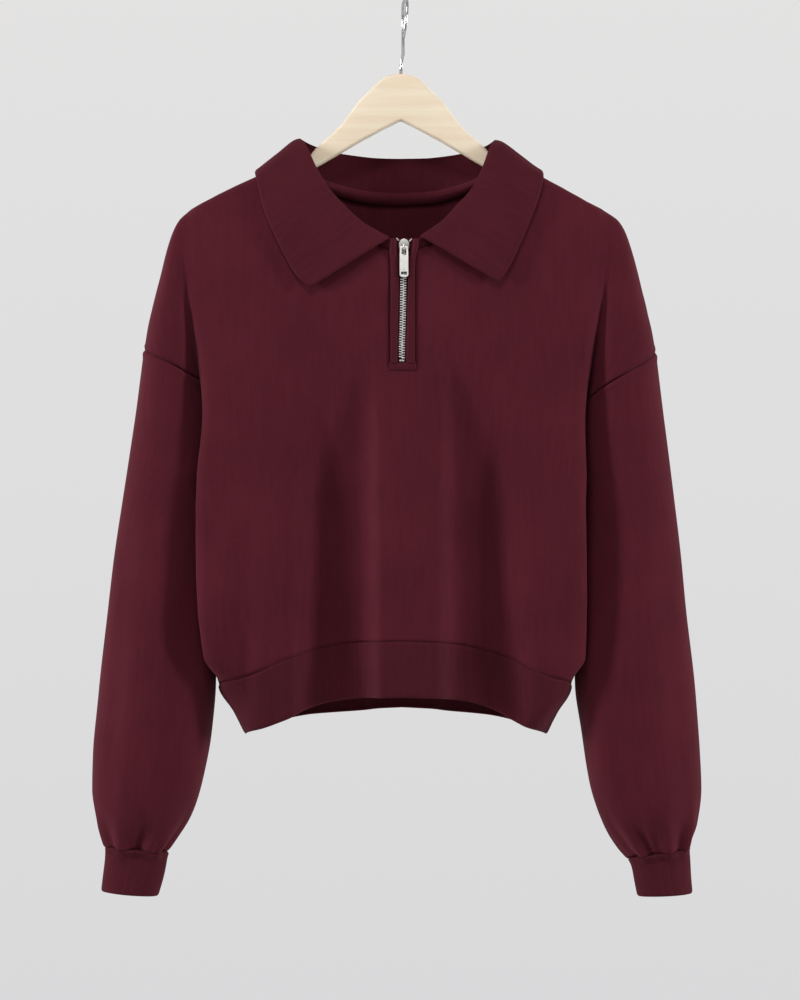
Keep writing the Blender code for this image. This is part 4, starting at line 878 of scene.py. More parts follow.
def wood_material():
    """Pale close-grained wood, its grain along the bar, under a satin varnish."""
    mat = bpy.data.materials.new("hanger_beech")
    mat.use_nodes = True
    nodes, links = mat.node_tree.nodes, mat.node_tree.links
    shader = nodes["Principled BSDF"]
    shader.inputs["Specular IOR Level"].default_value = 0.4
    shader.inputs["Coat Weight"].default_value = 0.12
    shader.inputs["Coat Roughness"].default_value = 0.3
    place = nodes.new("ShaderNodeTexCoord")
    along_grain = nodes.new("ShaderNodeMapping")
    along_grain.inputs["Rotation"].default_value = (0.0, math.radians(4.0), 0.0)
    along_grain.inputs["Scale"].default_value = (7.0, 120.0, 120.0)
    links.new(place.outputs["Object"], along_grain.inputs["Vector"])
    grain = nodes.new("ShaderNodeTexNoise")
    grain.inputs["Scale"].default_value = 1.0
    grain.inputs["Detail"].default_value = 5.0
    grain.inputs["Distortion"].default_value = 0.6
    links.new(along_grain.outputs[0], grain.inputs["Vector"])
    fine = nodes.new("ShaderNodeMapping")
    fine.inputs["Scale"].default_value = (60.0, 1600.0, 1600.0)
    links.new(place.outputs["Object"], fine.inputs["Vector"])
    pores = nodes.new("ShaderNodeTexNoise")
    pores.inputs["Scale"].default_value = 1.0
    pores.inputs["Detail"].default_value = 2.0
    links.new(fine.outputs[0], pores.inputs["Vector"])
    both = nodes.new("ShaderNodeMath")
    both.operation = "MULTIPLY_ADD"
    both.inputs[1].default_value = 0.25
    links.new(pores.outputs["Fac"], both.inputs[0])
    links.new(grain.outputs["Fac"], both.inputs[2])
    tone = nodes.new("ShaderNodeValToRGB")
    low, high = tone.color_ramp.elements
    low.position, high.position = 0.42, 0.82
    low.color, high.color = (0.80, 0.70, 0.545, 1), (0.73, 0.60, 0.435, 1)
    links.new(both.outputs[0], tone.inputs["Fac"])
    links.new(tone.outputs["Color"], shader.inputs["Base Color"])
    rough = nodes.new("ShaderNodeMapRange")
    rough.inputs["To Min"].default_value, rough.inputs["To Max"].default_value = 0.38, 0.55
    links.new(pores.outputs["Fac"], rough.inputs["Value"])
    links.new(rough.outputs[0], shader.inputs["Roughness"])
    bump = nodes.new("ShaderNodeBump")
    bump.inputs["Strength"].default_value, bump.inputs["Distance"].default_value = 0.12, 0.0002
    links.new(both.outputs[0], bump.inputs["Height"])
    links.new(bump.outputs["Normal"], shader.inputs["Normal"])
    return mat


BURGUNDY = (0.070, 0.0094, 0.0162)
JERSEY = knit_material("burgundy_jersey", BURGUNDY)
COLLAR_KNIT = knit_material("burgundy_collar", (0.060, 0.0083, 0.0141), 0.95, 0.7, 0.0, 0.24)
RIB = knit_material("burgundy_rib", (0.057, 0.0080, 0.0135), 1.0, 0.8, 2.4, 0.30)
TAPE = knit_material("burgundy_tape", (0.070, 0.0098, 0.0165), 0.7, 0.7, 1.4, 0.24)
NICKEL = metal_material("polished_nickel", (0.78, 0.76, 0.72), 0.30, 0.86)
# The teeth and top stops get a copy of the nickel painted far lighter than the slider's: painted light standing in for
# their highlights.
NICKEL_PAINTED_LIGHTER = metal_material("nickel_painted_lighter", (0.97, 0.96, 0.93), 0.42, 0.86)
STEEL = metal_material("steel_wire", (0.60, 0.60, 0.61), 0.25, 0.85)
WOOD = wood_material()


def on_frame(obj, node, body="garment"):
    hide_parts(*node)
    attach(obj, body)


def hung(uv, keep=None):
    width, length, area = flat_size(uv, keep)
    width, length = max(width, 0.0101), max(length, 0.0101)


# ---------------------------------------------------------------- front and back
FACING = {"front": (0, -1, 0), "back": (0, 1, 0)}


def push(points, direction, amount):
    return points + direction * amount[..., None]


def panel_relief(face, points, uv, k, gap_at, gap):
    """Seams and soft unevenness of a panel, as a distance along its outward direction."""
    rows, cols = points.shape[:2]
    x, z = uv[..., 0], uv[..., 1]
    relief = 0.35 * drift(x, z * 0.45, 62, 1.0 if face == "front" else 2.0)
    relief += 0.16 * drift(x, z * 0.8, 23, 3.0 if face == "front" else 4.0)
    on_seam = 10 * k
    for flip in (False, True):
        p = points[:, ::-1] if flip else points
        near = near_edge(p, 5 * k)
        seam = welt(near, 0.5, 2.6, 0.9)
        rows_on = np.clip(1 - (np.arange(rows) - on_seam) / (1.0 * k), 0, 1)[:, None]
        part = seam * rows_on
        if flip:
            relief[:, -5 * k :] += part[:, ::-1]
        else:
            relief[:, : 5 * k] += part
    low = np.linalg.norm(np.diff(points[::-1][: 3 * k + 1], axis=0), axis=2)
    low = np.concatenate([np.zeros((1, cols)), np.cumsum(low, axis=0)])[::-1]
    relief[-len(low) :] += welt(low, 0.2, 1.8, 0.6)
    return relief


for face in FACES:
    points, uv, keep, gap_at, gap = panel(face, FINE)
    out = outward(points, facing=FACING[face])
    points = push(points, out, panel_relief(face, points, uv, FINE, gap_at, gap))
    obj = cloth(face + "_panel_cloth", points, uv, 1.8, JERSEY, out, False, keep)
    on_frame(obj, [face + "_panel"])
    hung(uv, keep)


# ---------------------------------------------------------------- sleeves and cuffs
# Gathers above each cuff: place round the sleeve (0 outer fold, 0.5 inner side, front between them), the
# drop where each begins, its width in millimetres and its height (negative for a trough).
GATHERS = {
    "left": Table(
        "around start width height",
        (0.045, 700, 5.5, 1.8),
        (0.115, 716, 4.5, -2.0),
        (0.175, 690, 6.0, 1.6),
        (0.235, 735, 4.0, -1.2),
        (0.285, 716, 5.0, -3.0),
        (0.345, 738, 3.6, 1.5),
        (0.405, 722, 5.0, 2.2),
        (0.455, 706, 4.0, -1.8),
        (0.555, 712, 5.0, -2.2),
        (0.62, 695, 5.5, 1.8),
        (0.70, 716, 4.6, -2.6),
        (0.77, 705, 5.0, 1.7),
        (0.85, 722, 4.0, -1.8),
        (0.92, 700, 5.2, 1.5),
    ),
    "right": Table(
        "around start width height",
        (0.05, 716, 4.6, -1.8),
        (0.10, 692, 4.4, 2.6),
        (0.155, 720, 4.0, -2.2),
        (0.215, 704, 5.0, 1.6),
        (0.275, 732, 4.0, -1.4),
        (0.325, 722, 4.6, -2.6),
        (0.38, 716, 4.6, 1.7),
        (0.44, 700, 4.2, -1.5),
        (0.54, 712, 5.0, 1.8),
        (0.61, 700, 5.0, -2.2),
        (0.69, 716, 5.0, 1.9),
        (0.77, 706, 4.8, -2.4),
        (0.86, 720, 4.4, 1.6),
        (0.93, 700, 4.6, -1.6),
    ),
}
# Long soft folds of the sleeves: place round the sleeve at top and bottom, drops, width and height.
SLEEVE_FOLDS = {
    "left": Table(
        "a_top a_low drop_top drop_low width height",
        (0.10, 0.16, 440, 740, 12, -1.6),
        (0.22, 0.20, 380, 700, 16, 1.8),
        (0.34, 0.30, 470, 750, 12, -1.8),
        (0.40, 0.42, 420, 690, 12, 1.4),
        (0.62, 0.60, 430, 740, 15, -1.8),
        (0.72, 0.74, 380, 730, 15, 1.8),
        (0.86, 0.82, 450, 740, 13, -1.6),
    ),
    "right": Table(
        "a_top a_low drop_top drop_low width height",
        (0.12, 0.15, 420, 740, 13, -1.6),
        (0.20, 0.24, 400, 720, 15, 1.8),
        (0.32, 0.33, 450, 750, 13, -1.8),
        (0.41, 0.40, 440, 690, 12, 1.4),
        (0.60, 0.63, 430, 740, 15, -1.8),
        (0.73, 0.71, 400, 730, 15, 1.8),
        (0.84, 0.85, 440, 740, 13, -1.6),
    ),
}


def bell(distance, width):
    return np.exp(-((distance / width) ** 2))


def round_sleeve(place, total):
    """Signed distance round a tube from a place on it, both as shares of the way round."""
    return (np.mod(place + 0.5, 1.0) - 0.5) * total


for side in SIDES:
    points, uv, width, down = tube(side, FINE)
    out = outward(points, True)
    rows, around = points.shape[:2]
    share, total = width[:, :-1] / width[:, -1:], width[:, -1:]
    d = -points[..., 2]
    relief = 0.35 * drift(uv[:, :-1, 0], uv[:, :-1, 1] * 0.45, 58, 5.0) * ramp(0, 25, down)
    fade = ramp(0, 30, down)
    for a_top, a_low, d_top, d_low, w, h in SLEEVE_FOLDS[side].rows:
        s = np.clip((d - d_top) / (d_low - d_top), 0, 1)
        middle_line = a_top + (a_low - a_top) * s
        grown = ramp(d_top, d_top + 0.4 * (d_low - d_top), d) * (1 - ramp(d_low, d_low + 25, d))
        relief += h * grown * bell(round_sleeve(share - middle_line, total), w) * fade
    for a, start, w, h in GATHERS[side].rows:
        grown = ramp(start, CUFF_LINE - 6, d) ** 1.6
        bend = 0.012 * np.sin(d / 17.0 + a * 40)
        relief += 1.35 * h * grown * bell(round_sleeve(share - a - bend * (1 - grown), total), w * (1.5 - 0.5 * grown))
    relief += welt(down, 0.9, 3.0, 0.7) * (0.9 + 0.1 * np.sin(share * 40))
    end = down[-1:] - down
    relief -= 0.9 * np.exp(-((end / 1.1) ** 2))
    inner_side = np.abs(share - 0.5) * total
    relief -= 0.35 * np.exp(-((inner_side / 1.0) ** 2)) * fade
    points = push(points, out, relief)
    ring = points[-1] - out[-1] * relief[-1][:, None]
    points, uv, out = allowance(points, uv, out, 3.0, 2.2)
    obj = cloth("sleeve_cloth_" + side, points, uv, 1.8, JERSEY, out, True)
    on_frame(obj, ["sleeve_" + side])
    hung(uv)

    made = cuff_tube(side, ring, 5 * FINE)
    across = np.linalg.norm(np.roll(made, -1, axis=1) - made, axis=2)
    across = np.concatenate([np.zeros((len(made), 1)), np.cumsum(across, axis=1)], axis=1)
    long = np.linalg.norm(np.diff(made, axis=0), axis=2)
    long = np.concatenate([np.zeros((1, around)), np.cumsum(long, axis=0)])
    out = outward(made, True)
    total = float(across[len(made) // 2, -1])
    share = across[:, :-1] / across[:, -1:]
    ribs = round(total / 2.6)
    relief = 0.10 * np.sin(share * ribs * 2 * math.pi) * ramp(0, 4, long)
    relief += 0.5 * drift(share * total, long, 40, 6.0 if side == "left" else 7.0) * ramp(3, 20, long)
    relief += welt(long, 0.35, 1.4, 0.5)
    end = long[-1:] - long
    relief -= 0.9 * np.exp(-((end / 1.0) ** 2))
    for a, start, w, h in GATHERS[side].rows:
        relief += 0.35 * h * bell(round_sleeve(share - a, total), w * 0.7) * (1 - ramp(2, 14, long))
    made = push(made, out, relief)
    flat = np.stack([(across / across[:, -1:]) * total, -np.concatenate([long, long[:, :1]], axis=1)], 2)
    made, flat, out = allowance(made, flat, out, 3.0, 2.4)
    obj = cloth("cuff_cloth_" + side, made, flat, 2.2, RIB, out, True)
    on_frame(obj, ["cuff_" + side])
    hung(flat)


# ---------------------------------------------------------------- hem band
for face in FACES:
    points, uv = band(face, FINE, 3 * FINE)
    out = outward(points, facing=FACING[face])
    long = np.linalg.norm(np.diff(points, axis=0), axis=2)
    long = np.concatenate([np.zeros((1, points.shape[1])), np.cumsum(long, axis=0)])
    end = long[-1:] - long
    relief = 0.08 * np.sin(uv[..., 0] / 2.6 * 2 * math.pi) * ramp(0, 4, long) * ramp(0, 4, end)
    relief += welt(long, 0.22, 1.8, 0.55) - 0.9 * np.exp(-((end / 1.0) ** 2))
    relief += 0.35 * drift(uv[..., 0], uv[..., 1], 46, 8.0 if face == "front" else 9.0)
    points = push(points, out, relief)
    points, uv, out = allowance(points, uv, out, 3.0, 2.6)
    obj = cloth("hem_cloth_" + face, points, uv, 2.2, RIB, out)
    on_frame(obj, ["hem_" + face])
    hung(uv)


# ---------------------------------------------------------------- collar
def collar_grid(sections, n):
    rows, flat = [], []
    runs = []
    for side in SIDES:
        shares = np.linspace(0, 1, sections + 1)
        if side == "right":
            shares = shares[::-1][1:]
        for share in shares:
            line, run, length = collar_profile(side, share, n)
            rows.append(line)
            runs.append(run)
    points = np.array(rows)
    runs = np.array(runs)
    middle = points.shape[1] // 2
    step = np.linalg.norm(np.diff(points[:, middle], axis=0), axis=1)
    along_neck = np.concatenate([[0], np.cumsum(step)])
    flat = np.stack([np.repeat(along_neck[:, None], points.shape[1], 1), -runs], 2)
    return points, flat, runs


points, uv, runs = collar_grid(15 * FINE, 7 * FINE)
out = normals(points)
if out[5, -6, 1] > 0:
    out = -out
end = runs[:, -1:] - runs
relief = 0.30 * drift(uv[..., 0], uv[..., 1], 44, 10.0) * ramp(0, 14, end)
relief += 0.25 * np.exp(-(((end - 3.4) / 1.6) ** 2)) - 0.75 * np.exp(-((end / 0.9) ** 2))
sides_run = near_edge(np.transpose(points, (1, 0, 2)), 4 * FINE).T
relief[: 4 * FINE + 0] += (0.25 * np.exp(-(((sides_run[: 4 * FINE] - 3.4) / 1.6) ** 2)) - 0.7 * np.exp(-((sides_run[: 4 * FINE] / 0.9) ** 2)))
back_run = near_edge(np.transpose(points[::-1], (1, 0, 2)), 4 * FINE).T
relief[::-1][: 4 * FINE] += (0.25 * np.exp(-(((back_run[: 4 * FINE] - 3.4) / 1.6) ** 2)) - 0.7 * np.exp(-((back_run[: 4 * FINE] / 0.9) ** 2)))
points = push(points, out, relief)
obj = cloth("collar_cloth", points, uv, 1.8, COLLAR_KNIT, out)
on_frame(obj, ["collar"])
hung(uv)


# ---------------------------------------------------------------- neck tape
TAPE_WALL = 1.0
rows = []
fine_share = np.linspace(0.62, 1.0, 6 * FINE)
for side, shares in (("left", fine_share), ("right", fine_share[::-1][1:])):
    for s in shares:
        x, d, y = (float(COLLAR[side].at("seam_" + c, s)) for c in ("x", "drop", "y"))
        line, run, length = collar_profile(side, s, 30)
        stand = line[int(np.argmin(np.abs(run - 3.4)))]
        skin, below, beside = SKIN["back", side], np.array([d + 8, d + 2]), np.array([abs(x)] * 2)
        panel_y = skin.point(below, skin.across(below, beside))[:, 1] - 2.0
        low_y = panel_y[0] - 0.6 - TAPE_WALL
        mid_y = min(panel_y[1], line[0][1]) - 0.7 - TAPE_WALL
        high_y = min(stand[1], line[0][1]) - 0.7 - TAPE_WALL
        t = np.linspace(0, 1, 2 * FINE + 1)
        z = -d - 8 + t * (stand[2] + d + 8)
        base = np.interp(t, [0, 0.55, 1], [low_y, mid_y, high_y])
        bulge = 2.2 * np.sin(math.pi * np.clip(t, 0, 1)) ** 0.7
        rows.append(np.stack([np.full(len(t), x), base - bulge, z], 1))
points = np.array(rows)
step = np.linalg.norm(np.diff(points[:, FINE], axis=0), axis=1)
runs = np.linalg.norm(np.diff(points, axis=1), axis=2)
runs = np.concatenate([np.zeros((len(points), 1)), np.cumsum(runs, axis=1)], axis=1)
uv = np.stack([np.repeat(np.concatenate([[0], np.cumsum(step)])[:, None], points.shape[1], 1), runs], 2)
obj = cloth("neck_tape_cloth", points, uv, 0.8, TAPE, outward(points, facing=FACING["front"]))
on_frame(obj, ["neck_tape"])
hung(uv)


# ---------------------------------------------------------------- placket
PLACKET = Table(
    "drop left_outer left_inner chain right_inner right_outer",
    (216, -8.6, -1.6, 2.3, 6.2, 11.5),
    (229.5, -9.9, -3.0, 2.2, 7.2, 12.1),
    (253, -9.9, -2.6, 1.75, 6.0, 12.1),
    (290, -9.9, -3.0, 1.1, 4.9, 12.1),
    (317, -9.9, -3.4, 0.4, 4.2, 12.1),
    (335, -9.9, -3.4, 0.4, 4.2, 12.1),
)


def lip(side, top, bottom):
    """A rounded fold of knit beside the zip, which opens and curls outwards at its top."""
    drops = np.linspace(top, bottom, 14 * FINE + 1)
    outer, inner = ("left_outer", "left_inner") if side == "left" else ("right_outer", "right_inner")
    a, b = PLACKET.at(outer, drops), PLACKET.at(inner, drops)
    curl = 1 - ramp(top, top + 22, drops)
    sign = 1 if side == "left" else -1
    a = a - (2.6 if side == "left" else -4.6) * curl
    b = b - (2.2 if side == "left" else -3.6) * curl
    t = np.linspace(0, 1, 3 * FINE + 1)[None, :]
    # Across: up out of the panel, over a rounded top, round the inner edge and back to the tape.
    x = np.interp(t[0], [0, 0.15, 0.45, 0.75, 0.88, 1.0], [0.0, 0.10, 0.48, 0.90, 1.0, 0.93])[None, :]
    out = np.interp(t[0], [0, 0.12, 0.35, 0.6, 0.78, 0.9, 1.0], [0.35, 1.0, 1.7, 1.75, 1.1, -0.3, -2.0])[None, :]
    out = out + curl[:, None] * (2.4 * np.sin(math.pi * np.clip(t * 1.1, 0, 1)) + 1.2 * np.clip(t * 1.4, 0, 1))
    out = out + 0.18 * np.sin(drops / 7.0 + (0 if side == "left" else 2))[:, None] * np.sin(math.pi * t)
    place = chest(a[:, None] + (b - a)[:, None] * x, drops[:, None] + 0 * t, out)
    width = 1.5 * np.abs(b - a)[:, None] * t
    return place, np.stack([sign * width, -(drops[:, None] + 0 * t)], 2)


for side in SIDES:
    points, uv = lip(side, 217.5, 329.0)
    obj = cloth("placket_lip_" + side, points, uv, 0.9, COLLAR_KNIT, outward(points, facing=FACING["front"]))
    on_frame(obj, ["placket_" + side])
    hung(uv)

drops = np.linspace(328.0, 335.4, 2 * FINE + 1)
across = np.linspace(-11.0, 13.2, 8 * FINE + 1)
swell = np.sin(np.linspace(0, math.pi, len(drops)))[:, None] ** 0.8
side_fall = (1 - np.abs((across - 1.1) / 12.6) ** 6)[None, :]
points = chest(across[None, :] + 0 * drops[:, None], drops[:, None] + 0 * across[None, :], 0.3 + 1.3 * swell * side_fall)
uv = np.stack([across[None, :] + 0 * drops[:, None], -drops[:, None] + 0 * across[None, :]], 2)
obj = cloth("placket_end", points, uv, 0.9, COLLAR_KNIT, outward(points, facing=FACING["front"]))
on_frame(obj, ["placket_bar"])
hung(uv)


# ---------------------------------------------------------------- zip
def tape_grid(side):
    drops = np.linspace(217.0, 327.5, 12 * FINE + 1)[:, None]
    mid = PLACKET.at("chain", drops)
    a, b = (PLACKET.at("left_outer", drops) - 3.0, mid - 0.3) if side == "left" else (mid + 0.3, PLACKET.at("right_outer", drops) + 3.0)
    t = np.linspace(0, 1, 2 * FINE + 1)[None, :]
    x = a + (b - a) * t
    weave = 0.08 * np.sin(x * 2 * math.pi / 1.6)
    return chest(x, drops + 0 * t, -3.6 + weave), np.stack([x, -drops + 0 * t], 2)


for side in SIDES:
    points, uv = tape_grid(side)
    obj = cloth("zip_tape_cloth_" + side, points, uv, 0.8, TAPE, outward(points, facing=FACING["front"]))
    on_frame(obj, ["zip_tape_" + side])
    hung(uv)


def blank(size, bevel, segments=3):
    """Vertices (mm) and faces of a rounded block, from its own bevelled mesh."""
    made = bmesh.new()
    bmesh.ops.create_cube(made, size=1.0)
    bmesh.ops.scale(made, vec=Vector(size), verts=made.verts)
    bmesh.ops.bevel(made, geom=list(made.edges), offset=bevel, segments=segments, profile=0.5, affect="EDGES")
    verts = np.array([v.co[:] for v in made.verts])
    faces = [[v.index for v in f.verts] for f in made.faces]
    made.free()
    return verts, faces


def mesh_object(name, verts, faces, mat, smooth=True):
    mesh = bpy.data.meshes.new(name)
    mesh.from_pydata((np.asarray(verts) * MM).tolist(), [], faces)
    mesh.materials.append(mat)
    if smooth:
        mesh.shade_smooth()
    obj = bpy.data.objects.new(name, mesh)
    bpy.context.scene.collection.objects.link(obj)
    return obj


def slab(name, outline, caps, half, rounding, at, mat):
    """A flat outline in (x, z) made into a plate with rounded edges. caps are the faces of its two sides."""
    step = np.roll(outline, -1, axis=0) - np.roll(outline, 1, axis=0)
    inward = np.stack([-step[:, 1], step[:, 0]], 1)
    inward /= np.linalg.norm(inward, axis=1, keepdims=True)
    signed = (outline[:, 0] * np.roll(outline[:, 1], -1) - np.roll(outline[:, 0], -1) * outline[:, 1]).sum()
    inward = inward if signed > 0 else -inward
    angles = np.linspace(0, math.pi / 2, 6)
    loops = [(rounding * (1 - math.sin(t)), half - rounding + rounding * math.cos(t)) for t in angles]
    layers = [(inset, -y) for inset, y in loops] + [(inset, y) for inset, y in loops[::-1]]
    n = len(outline)
    verts = np.concatenate([
        np.stack([outline[:, 0] + inward[:, 0] * inset, np.full(n, y), outline[:, 1] + inward[:, 1] * inset], 1)
        for inset, y in layers
    ])
    faces = []
    for i in range(len(layers) - 1):
        for j in range(n):
            faces.append([i * n + j, i * n + (j + 1) % n, (i + 1) * n + (j + 1) % n, (i + 1) * n + j])
    for first, wind in ((0, 1), ((len(layers) - 1) * n, -1)):
        faces += [[first + v for v in cap][::wind] for cap in caps]
    obj = mesh_object(name, verts + np.array(at), faces, mat)
    tidy(obj)
    return obj


def tidy(obj):
    """Turns all faces of a closed mesh outwards."""
    made = bmesh.new()
    made.from_mesh(obj.data)
    bmesh.ops.recalc_face_normals(made, faces=made.faces)
    made.to_mesh(obj.data)
    made.free()
    obj.data.shade_smooth()


TOOTH, PITCH = (3.4, 1.7, 0.92), 2.23
verts, faces = blank(TOOTH, 0.3)
all_verts, all_faces = [], []
for side, sign in (("left", -1), ("right", 1)):
    for i in range(43):
        d = 229.2 + PITCH * i + (PITCH / 2 if side == "right" else 0)
        if d > 325.0:
            continue
        x = float(PLACKET.at("chain", d)) + sign * 1.15
        centre = chest(x, d, -2.0)
        wobble = 0.06 * math.sin(i * 2.1 + sign)
        shape = verts * (1, 1, 1)
        all_faces += [[v + len(all_verts) * len(verts) for v in f] for f in faces]
        all_verts.append(shape + centre + (wobble, 0, 0))
# The teeth take the lighter-painted nickel: painted light for their highlights.
obj = mesh_object("zip_teeth", np.concatenate(all_verts), all_faces, NICKEL_PAINTED_LIGHTER)
on_frame(obj, ["zip_chain"])

# Slider: a plate with a round crown over the top of the chain, flared to the sides where the teeth part, a
# second plate behind the chain, and the bridge that the tab hangs from.
SLIDER_X, PIVOT_DROP = 2.2, 225.2
PIVOT = np.array([SLIDER_X, chest(SLIDER_X, PIVOT_DROP, 0.9 + 1.15)[1], -PIVOT_DROP])
crown = [(4.9 * math.cos(t), 2.9 + 4.9 * math.sin(t)) for t in np.linspace(0, math.pi, 25)]
waist = [(-4.75, 1.0), (-4.3, -1.0), (-3.9, -2.6), (-3.3, -3.1)]
outline = np.array(crown + waist + [(-x, z) for x, z in waist[::-1]])
front_plate = slab("slider_front", outline, [list(range(len(outline)))], 0.8, 0.55, PIVOT + (0, 1.95, 0), NICKEL)
back_plate = slab("slider_back", outline, [list(range(len(outline)))], 0.6, 0.4, PIVOT + (0, 6.2, 0), NICKEL)
angles = np.linspace(-100, 100, 31)
rings = []
for t in np.radians(angles):
    spoke = np.array([0, -math.cos(t), math.sin(t)])
    middle = PIVOT + spoke * 1.85 + (0, 0.15, 0)
    ring = [middle + (1.25 * math.copysign(abs(math.cos(a)) ** 0.6, math.cos(a)), 0, 0) + spoke * 0.62 * math.copysign(abs(math.sin(a)) ** 0.6, math.sin(a)) for a in np.linspace(0, 2 * math.pi, 16, endpoint=False)]
    rings.append(ring)
rings = np.array(rings)
m, n = rings.shape[:2]
faces = [[i * n + j, (i + 1) * n + j, (i + 1) * n + (j + 1) % n, i * n + (j + 1) % n] for i in range(m - 1) for j in range(n)]
faces += [list(range(n)), [(m - 1) * n + j for j in range(n)][::-1]]
bridge = mesh_object("slider_bridge", rings.reshape(-1, 3), faces, NICKEL)
tidy(bridge)
for piece in (front_plate, back_plate, bridge):
    on_frame(piece, ["zip_slider"])

# Top stops: thin bars clamped to the parted tapes, so they lean outwards over the slider.
for side, lean in (("left", 40), ("right", -40)):
    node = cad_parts["zip_stop_top_" + side]
    corners = np.array([node.matrix_world @ v.co for v in node.data.vertices]) / MM
    middle = (corners.min(axis=0) + corners.max(axis=0)) / 2
    half = (corners.max(axis=0) - corners.min(axis=0)) / 2
    outline = np.array([
        (0.62 * math.cos(t), 0.62 * math.sin(t) + 0.95 * math.copysign(1, math.sin(t)))
        for t in np.radians(np.arange(9, 369, 18))
    ])
    turn = math.radians(lean)
    outline = np.stack([
        outline[:, 0] * math.cos(turn) - outline[:, 1] * math.sin(turn),
        outline[:, 0] * math.sin(turn) + outline[:, 1] * math.cos(turn),
    ], 1)
    # The top stops take the lighter-painted nickel: painted light for their highlights.
    stop = slab("top_stop_" + side, outline, [list(range(len(outline)))], half[1], 0.25, middle, NICKEL_PAINTED_LIGHTER)
    on_frame(stop, ["zip_stop_top_" + side])

for name in ("zip_pull", "zip_stop_bottom"):
    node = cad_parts[name]
    node.data.materials.clear()
    node.data.materials.append(NICKEL)

# ---------------------------------------------------------------- hanger
SHOULDER = Table(  # half of the outline: distance from the middle, top and underside
    "across top under",
    (0, 66.5, 108.6),
    (12, 68.5, 114.8),
    (20, 74, 119),
    (25, 80, 121.7),
    (35, 88.5, 127),
    (45, 101.5, 132.8),
    (55, 115, 138.6),
    (71, 129.3, 148),
    (80, 137.2, 153),
    (86, 148.4, 158.5),
    (95, 154.4, 163.5),
    (110, 161.8, 171),
    (130, 171.8, 181),
    (150, 182.2, 191),
    (163, 189.4, 198),
    (171, 194.8, 202),
    (176, 199.6, 204.2),
)
HANGER_X, HANGER_HALF, ROUNDING = -0.8, 5.5, 2.4
where = np.arange(0.0, 177.0)


def eased(name, soft):
    """A line of the hanger's outline with its corners sanded soft."""
    reach_out = np.arange(-3.0 * soft, 3.0 * soft + 1)
    weight = np.exp(-((reach_out / soft) ** 2))
    spread = SHOULDER.at(name, np.abs(np.minimum(where[:, None] + reach_out, 352 - where[:, None] - reach_out)))
    tail = SHOULDER.at(name, where)
    mixed = (spread * weight).sum(axis=1) / weight.sum()
    return np.where(where > 168, tail, mixed)


top = np.stack([where, -eased("top", 6.0)], 1)
under = np.stack([where, -eased("under", 1.6)], 1)
tip = np.array([(177.2, -201.2), (177.6, -202.6), (177.0, -203.8)])
mirror = np.array([-1.0, 1.0])
upper = np.concatenate([(top * mirror)[::-1], top[1:]])
lower = np.concatenate([under[::-1], (under * mirror)[1:]])
outline = np.concatenate([upper, tip, lower, (tip * mirror)[::-1]])
n = len(outline)
caps = []
for j in range(len(upper) - 1):
    caps.append([j, j + 1, len(upper) + 3 + len(lower) - 2 - j, len(upper) + 3 + len(lower) - 1 - j])
last = len(upper) - 1
caps += [[last, last + 1, last + 2, last + 3, last + 4], [n - 3, n - 2, n - 1, 0, n - 4]]
obj = slab("hanger_bar", outline, caps, HANGER_HALF, ROUNDING, (HANGER_X, 0, 0), WOOD)
obj.data.shade_smooth()
obj.data.set_sharp_from_angle(angle=math.radians(55))
on_frame(obj, ["hanger_wood"])

WIRE, HOOK_RADIUS = 1.5, 21.5
wire = [(-0.6, 0.0, -67.0), (-0.3, 0.0, -60.0), (0.45, -0.4, -52.5)]
wire += [(0.45 + 1.4 * k, -3.2 * k - 0.4, -52.5 + 4.6 * k) for k in (0.35, 0.7)]
for t in np.linspace(-52, 212, 90):
    lean = np.clip((t + 52) / 264, 0, 1)
    wire.append((
        1.4 + 3.6 * math.sin(math.pi * min(1.0, lean * 1.5)), -HOOK_RADIUS * math.cos(math.radians(t)),
        -20.0 + HOOK_RADIUS * math.sin(math.radians(t)),
    ))
wire = np.array(wire)
around = np.linspace(0, 2 * math.pi, 24, endpoint=False)
rings = []
for i, centre in enumerate(wire):
    ahead = wire[min(i + 1, len(wire) - 1)] - wire[max(i - 1, 0)]
    ahead /= np.linalg.norm(ahead)
    a = np.cross(ahead, (1.0, 0, 0))
    a /= np.linalg.norm(a)
    b = np.cross(ahead, a)
    rings.append(centre + WIRE * (np.cos(around)[:, None] * a + np.sin(around)[:, None] * b))
last = wire[-1] - wire[-2]
last /= np.linalg.norm(last)
for r, f in ((0.9, 0.6), (0.6, 1.1), (0.2, 1.4)):
    rings.append(wire[-1] + (rings[len(wire) - 1] - wire[-1]) * r + last * f)
rings = np.array(rings)
m, n = len(rings), 24
faces = [[i * n + j, (i + 1) * n + j, (i + 1) * n + (j + 1) % n, i * n + (j + 1) % n] for i in range(m - 1) for j in range(n)]
faces += [list(range(n)), [(m - 1) * n + j for j in range(n)][::-1]]
obj = mesh_object("hanger_wire", rings.reshape(-1, 3), faces, STEEL)
tidy(obj)
on_frame(obj, ["hanger_hook"])

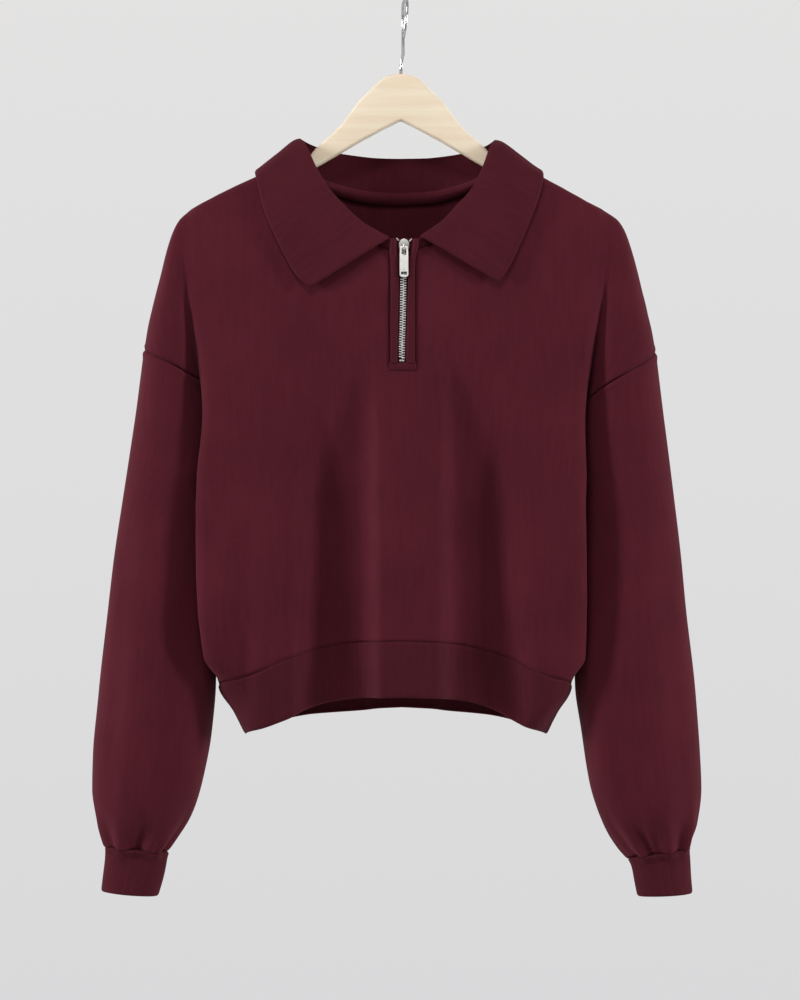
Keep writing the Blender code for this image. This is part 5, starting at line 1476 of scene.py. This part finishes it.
# ---------------------------------------------------------------- studio
world = bpy.data.worlds.new("studio")
bpy.context.scene.world = world
world.use_nodes = True
nodes, links = world.node_tree.nodes, world.node_tree.links
background = nodes["Background"]
direction = nodes.new("ShaderNodeTexCoord")
split = nodes.new("ShaderNodeSeparateXYZ")
links.new(direction.outputs["Generated"], split.inputs[0])
fade = nodes.new("ShaderNodeMapRange")
fade.inputs["From Min"].default_value, fade.inputs["From Max"].default_value = -0.25, 0.25
links.new(split.outputs["Z"], fade.inputs["Value"])
tone = nodes.new("ShaderNodeValToRGB")
low, high = tone.color_ramp.elements
low.color, high.color = (0.680, 0.680, 0.695, 1), (0.790, 0.780, 0.775, 1)
links.new(fade.outputs[0], tone.inputs["Fac"])
links.new(tone.outputs["Color"], background.inputs["Color"])
dim = nodes.new("ShaderNodeMapRange")  # brighter behind the garment than before it
dim.interpolation_type = "SMOOTHSTEP"
dim.inputs["From Min"].default_value, dim.inputs["From Max"].default_value = -0.3, 0.75
dim.inputs["To Min"].default_value, dim.inputs["To Max"].default_value = 0.28, 1.0
links.new(split.outputs["Y"], dim.inputs["Value"])
links.new(dim.outputs[0], background.inputs["Strength"])

floor_mat = bpy.data.materials.new("pale_floor")
floor_mat.use_nodes = True
nodes, links = floor_mat.node_tree.nodes, floor_mat.node_tree.links
shader = nodes["Principled BSDF"]
shader.inputs["Roughness"].default_value = 0.9
shader.inputs["Specular IOR Level"].default_value = 0.1
speck = nodes.new("ShaderNodeTexNoise")
speck.inputs["Scale"].default_value = 30.0
tone = nodes.new("ShaderNodeValToRGB")
low, high = tone.color_ramp.elements
low.color, high.color = (0.66, 0.66, 0.67, 1), (0.72, 0.72, 0.73, 1)
links.new(speck.outputs["Fac"], tone.inputs["Fac"])
links.new(tone.outputs["Color"], shader.inputs["Base Color"])
angles = np.linspace(0, 2 * math.pi, 96, endpoint=False)
mesh = bpy.data.meshes.new("floor")
mesh.from_pydata([(1.7 * math.cos(a), 1.7 * math.sin(a), -1.45) for a in angles], [], [list(range(96))])
mesh.materials.append(floor_mat)
floor = bpy.data.objects.new("floor", mesh)
bpy.context.scene.collection.objects.link(floor)


def lamp(name, place, target, size, power, tint=(1, 1, 1)):
    light = bpy.data.lights.new(name, "AREA")
    light.shape, light.size, light.size_y, light.energy, light.color = "RECTANGLE", size[0], size[1], power, tint
    obj = bpy.data.objects.new(name, light)
    bpy.context.scene.collection.objects.link(obj)
    obj.location = place
    obj.rotation_euler = (Vector(target) - Vector(place)).to_track_quat("-Z", "Y").to_euler()
    return obj


lamp("top", (-0.4, -1.6, 1.9), (0, 0, -0.42), (0.8, 0.6), 31, (1.0, 0.99, 0.98))
lamp("side_left", (-2.8, -0.85, 0.1), (0, 0, -0.45), (0.32, 1.2), 76)
lamp("side_right", (2.8, -0.85, 0.05), (0, 0, -0.45), (0.32, 1.2), 69)
lamp("glint", (0.0, -2.9, 0.75), (0, 0, -0.25), (1.3, 0.8), 5)

camera = bpy.data.cameras.new("camera")
camera.lens, camera.sensor_width, camera.sensor_fit = 104.0, 36.0, "AUTO"
camera.clip_start, camera.clip_end = 0.05, 30.0
camera_object = bpy.data.objects.new("camera", camera)
bpy.context.scene.collection.objects.link(camera_object)
camera_object.location = (-0.00135, -2.6, -0.45)
camera_object.rotation_euler = (math.radians(90), 0, 0)
bpy.context.scene.camera = camera_object
bpy.context.scene.view_settings.view_transform = "Standard"
bpy.context.scene.view_settings.look = "None"
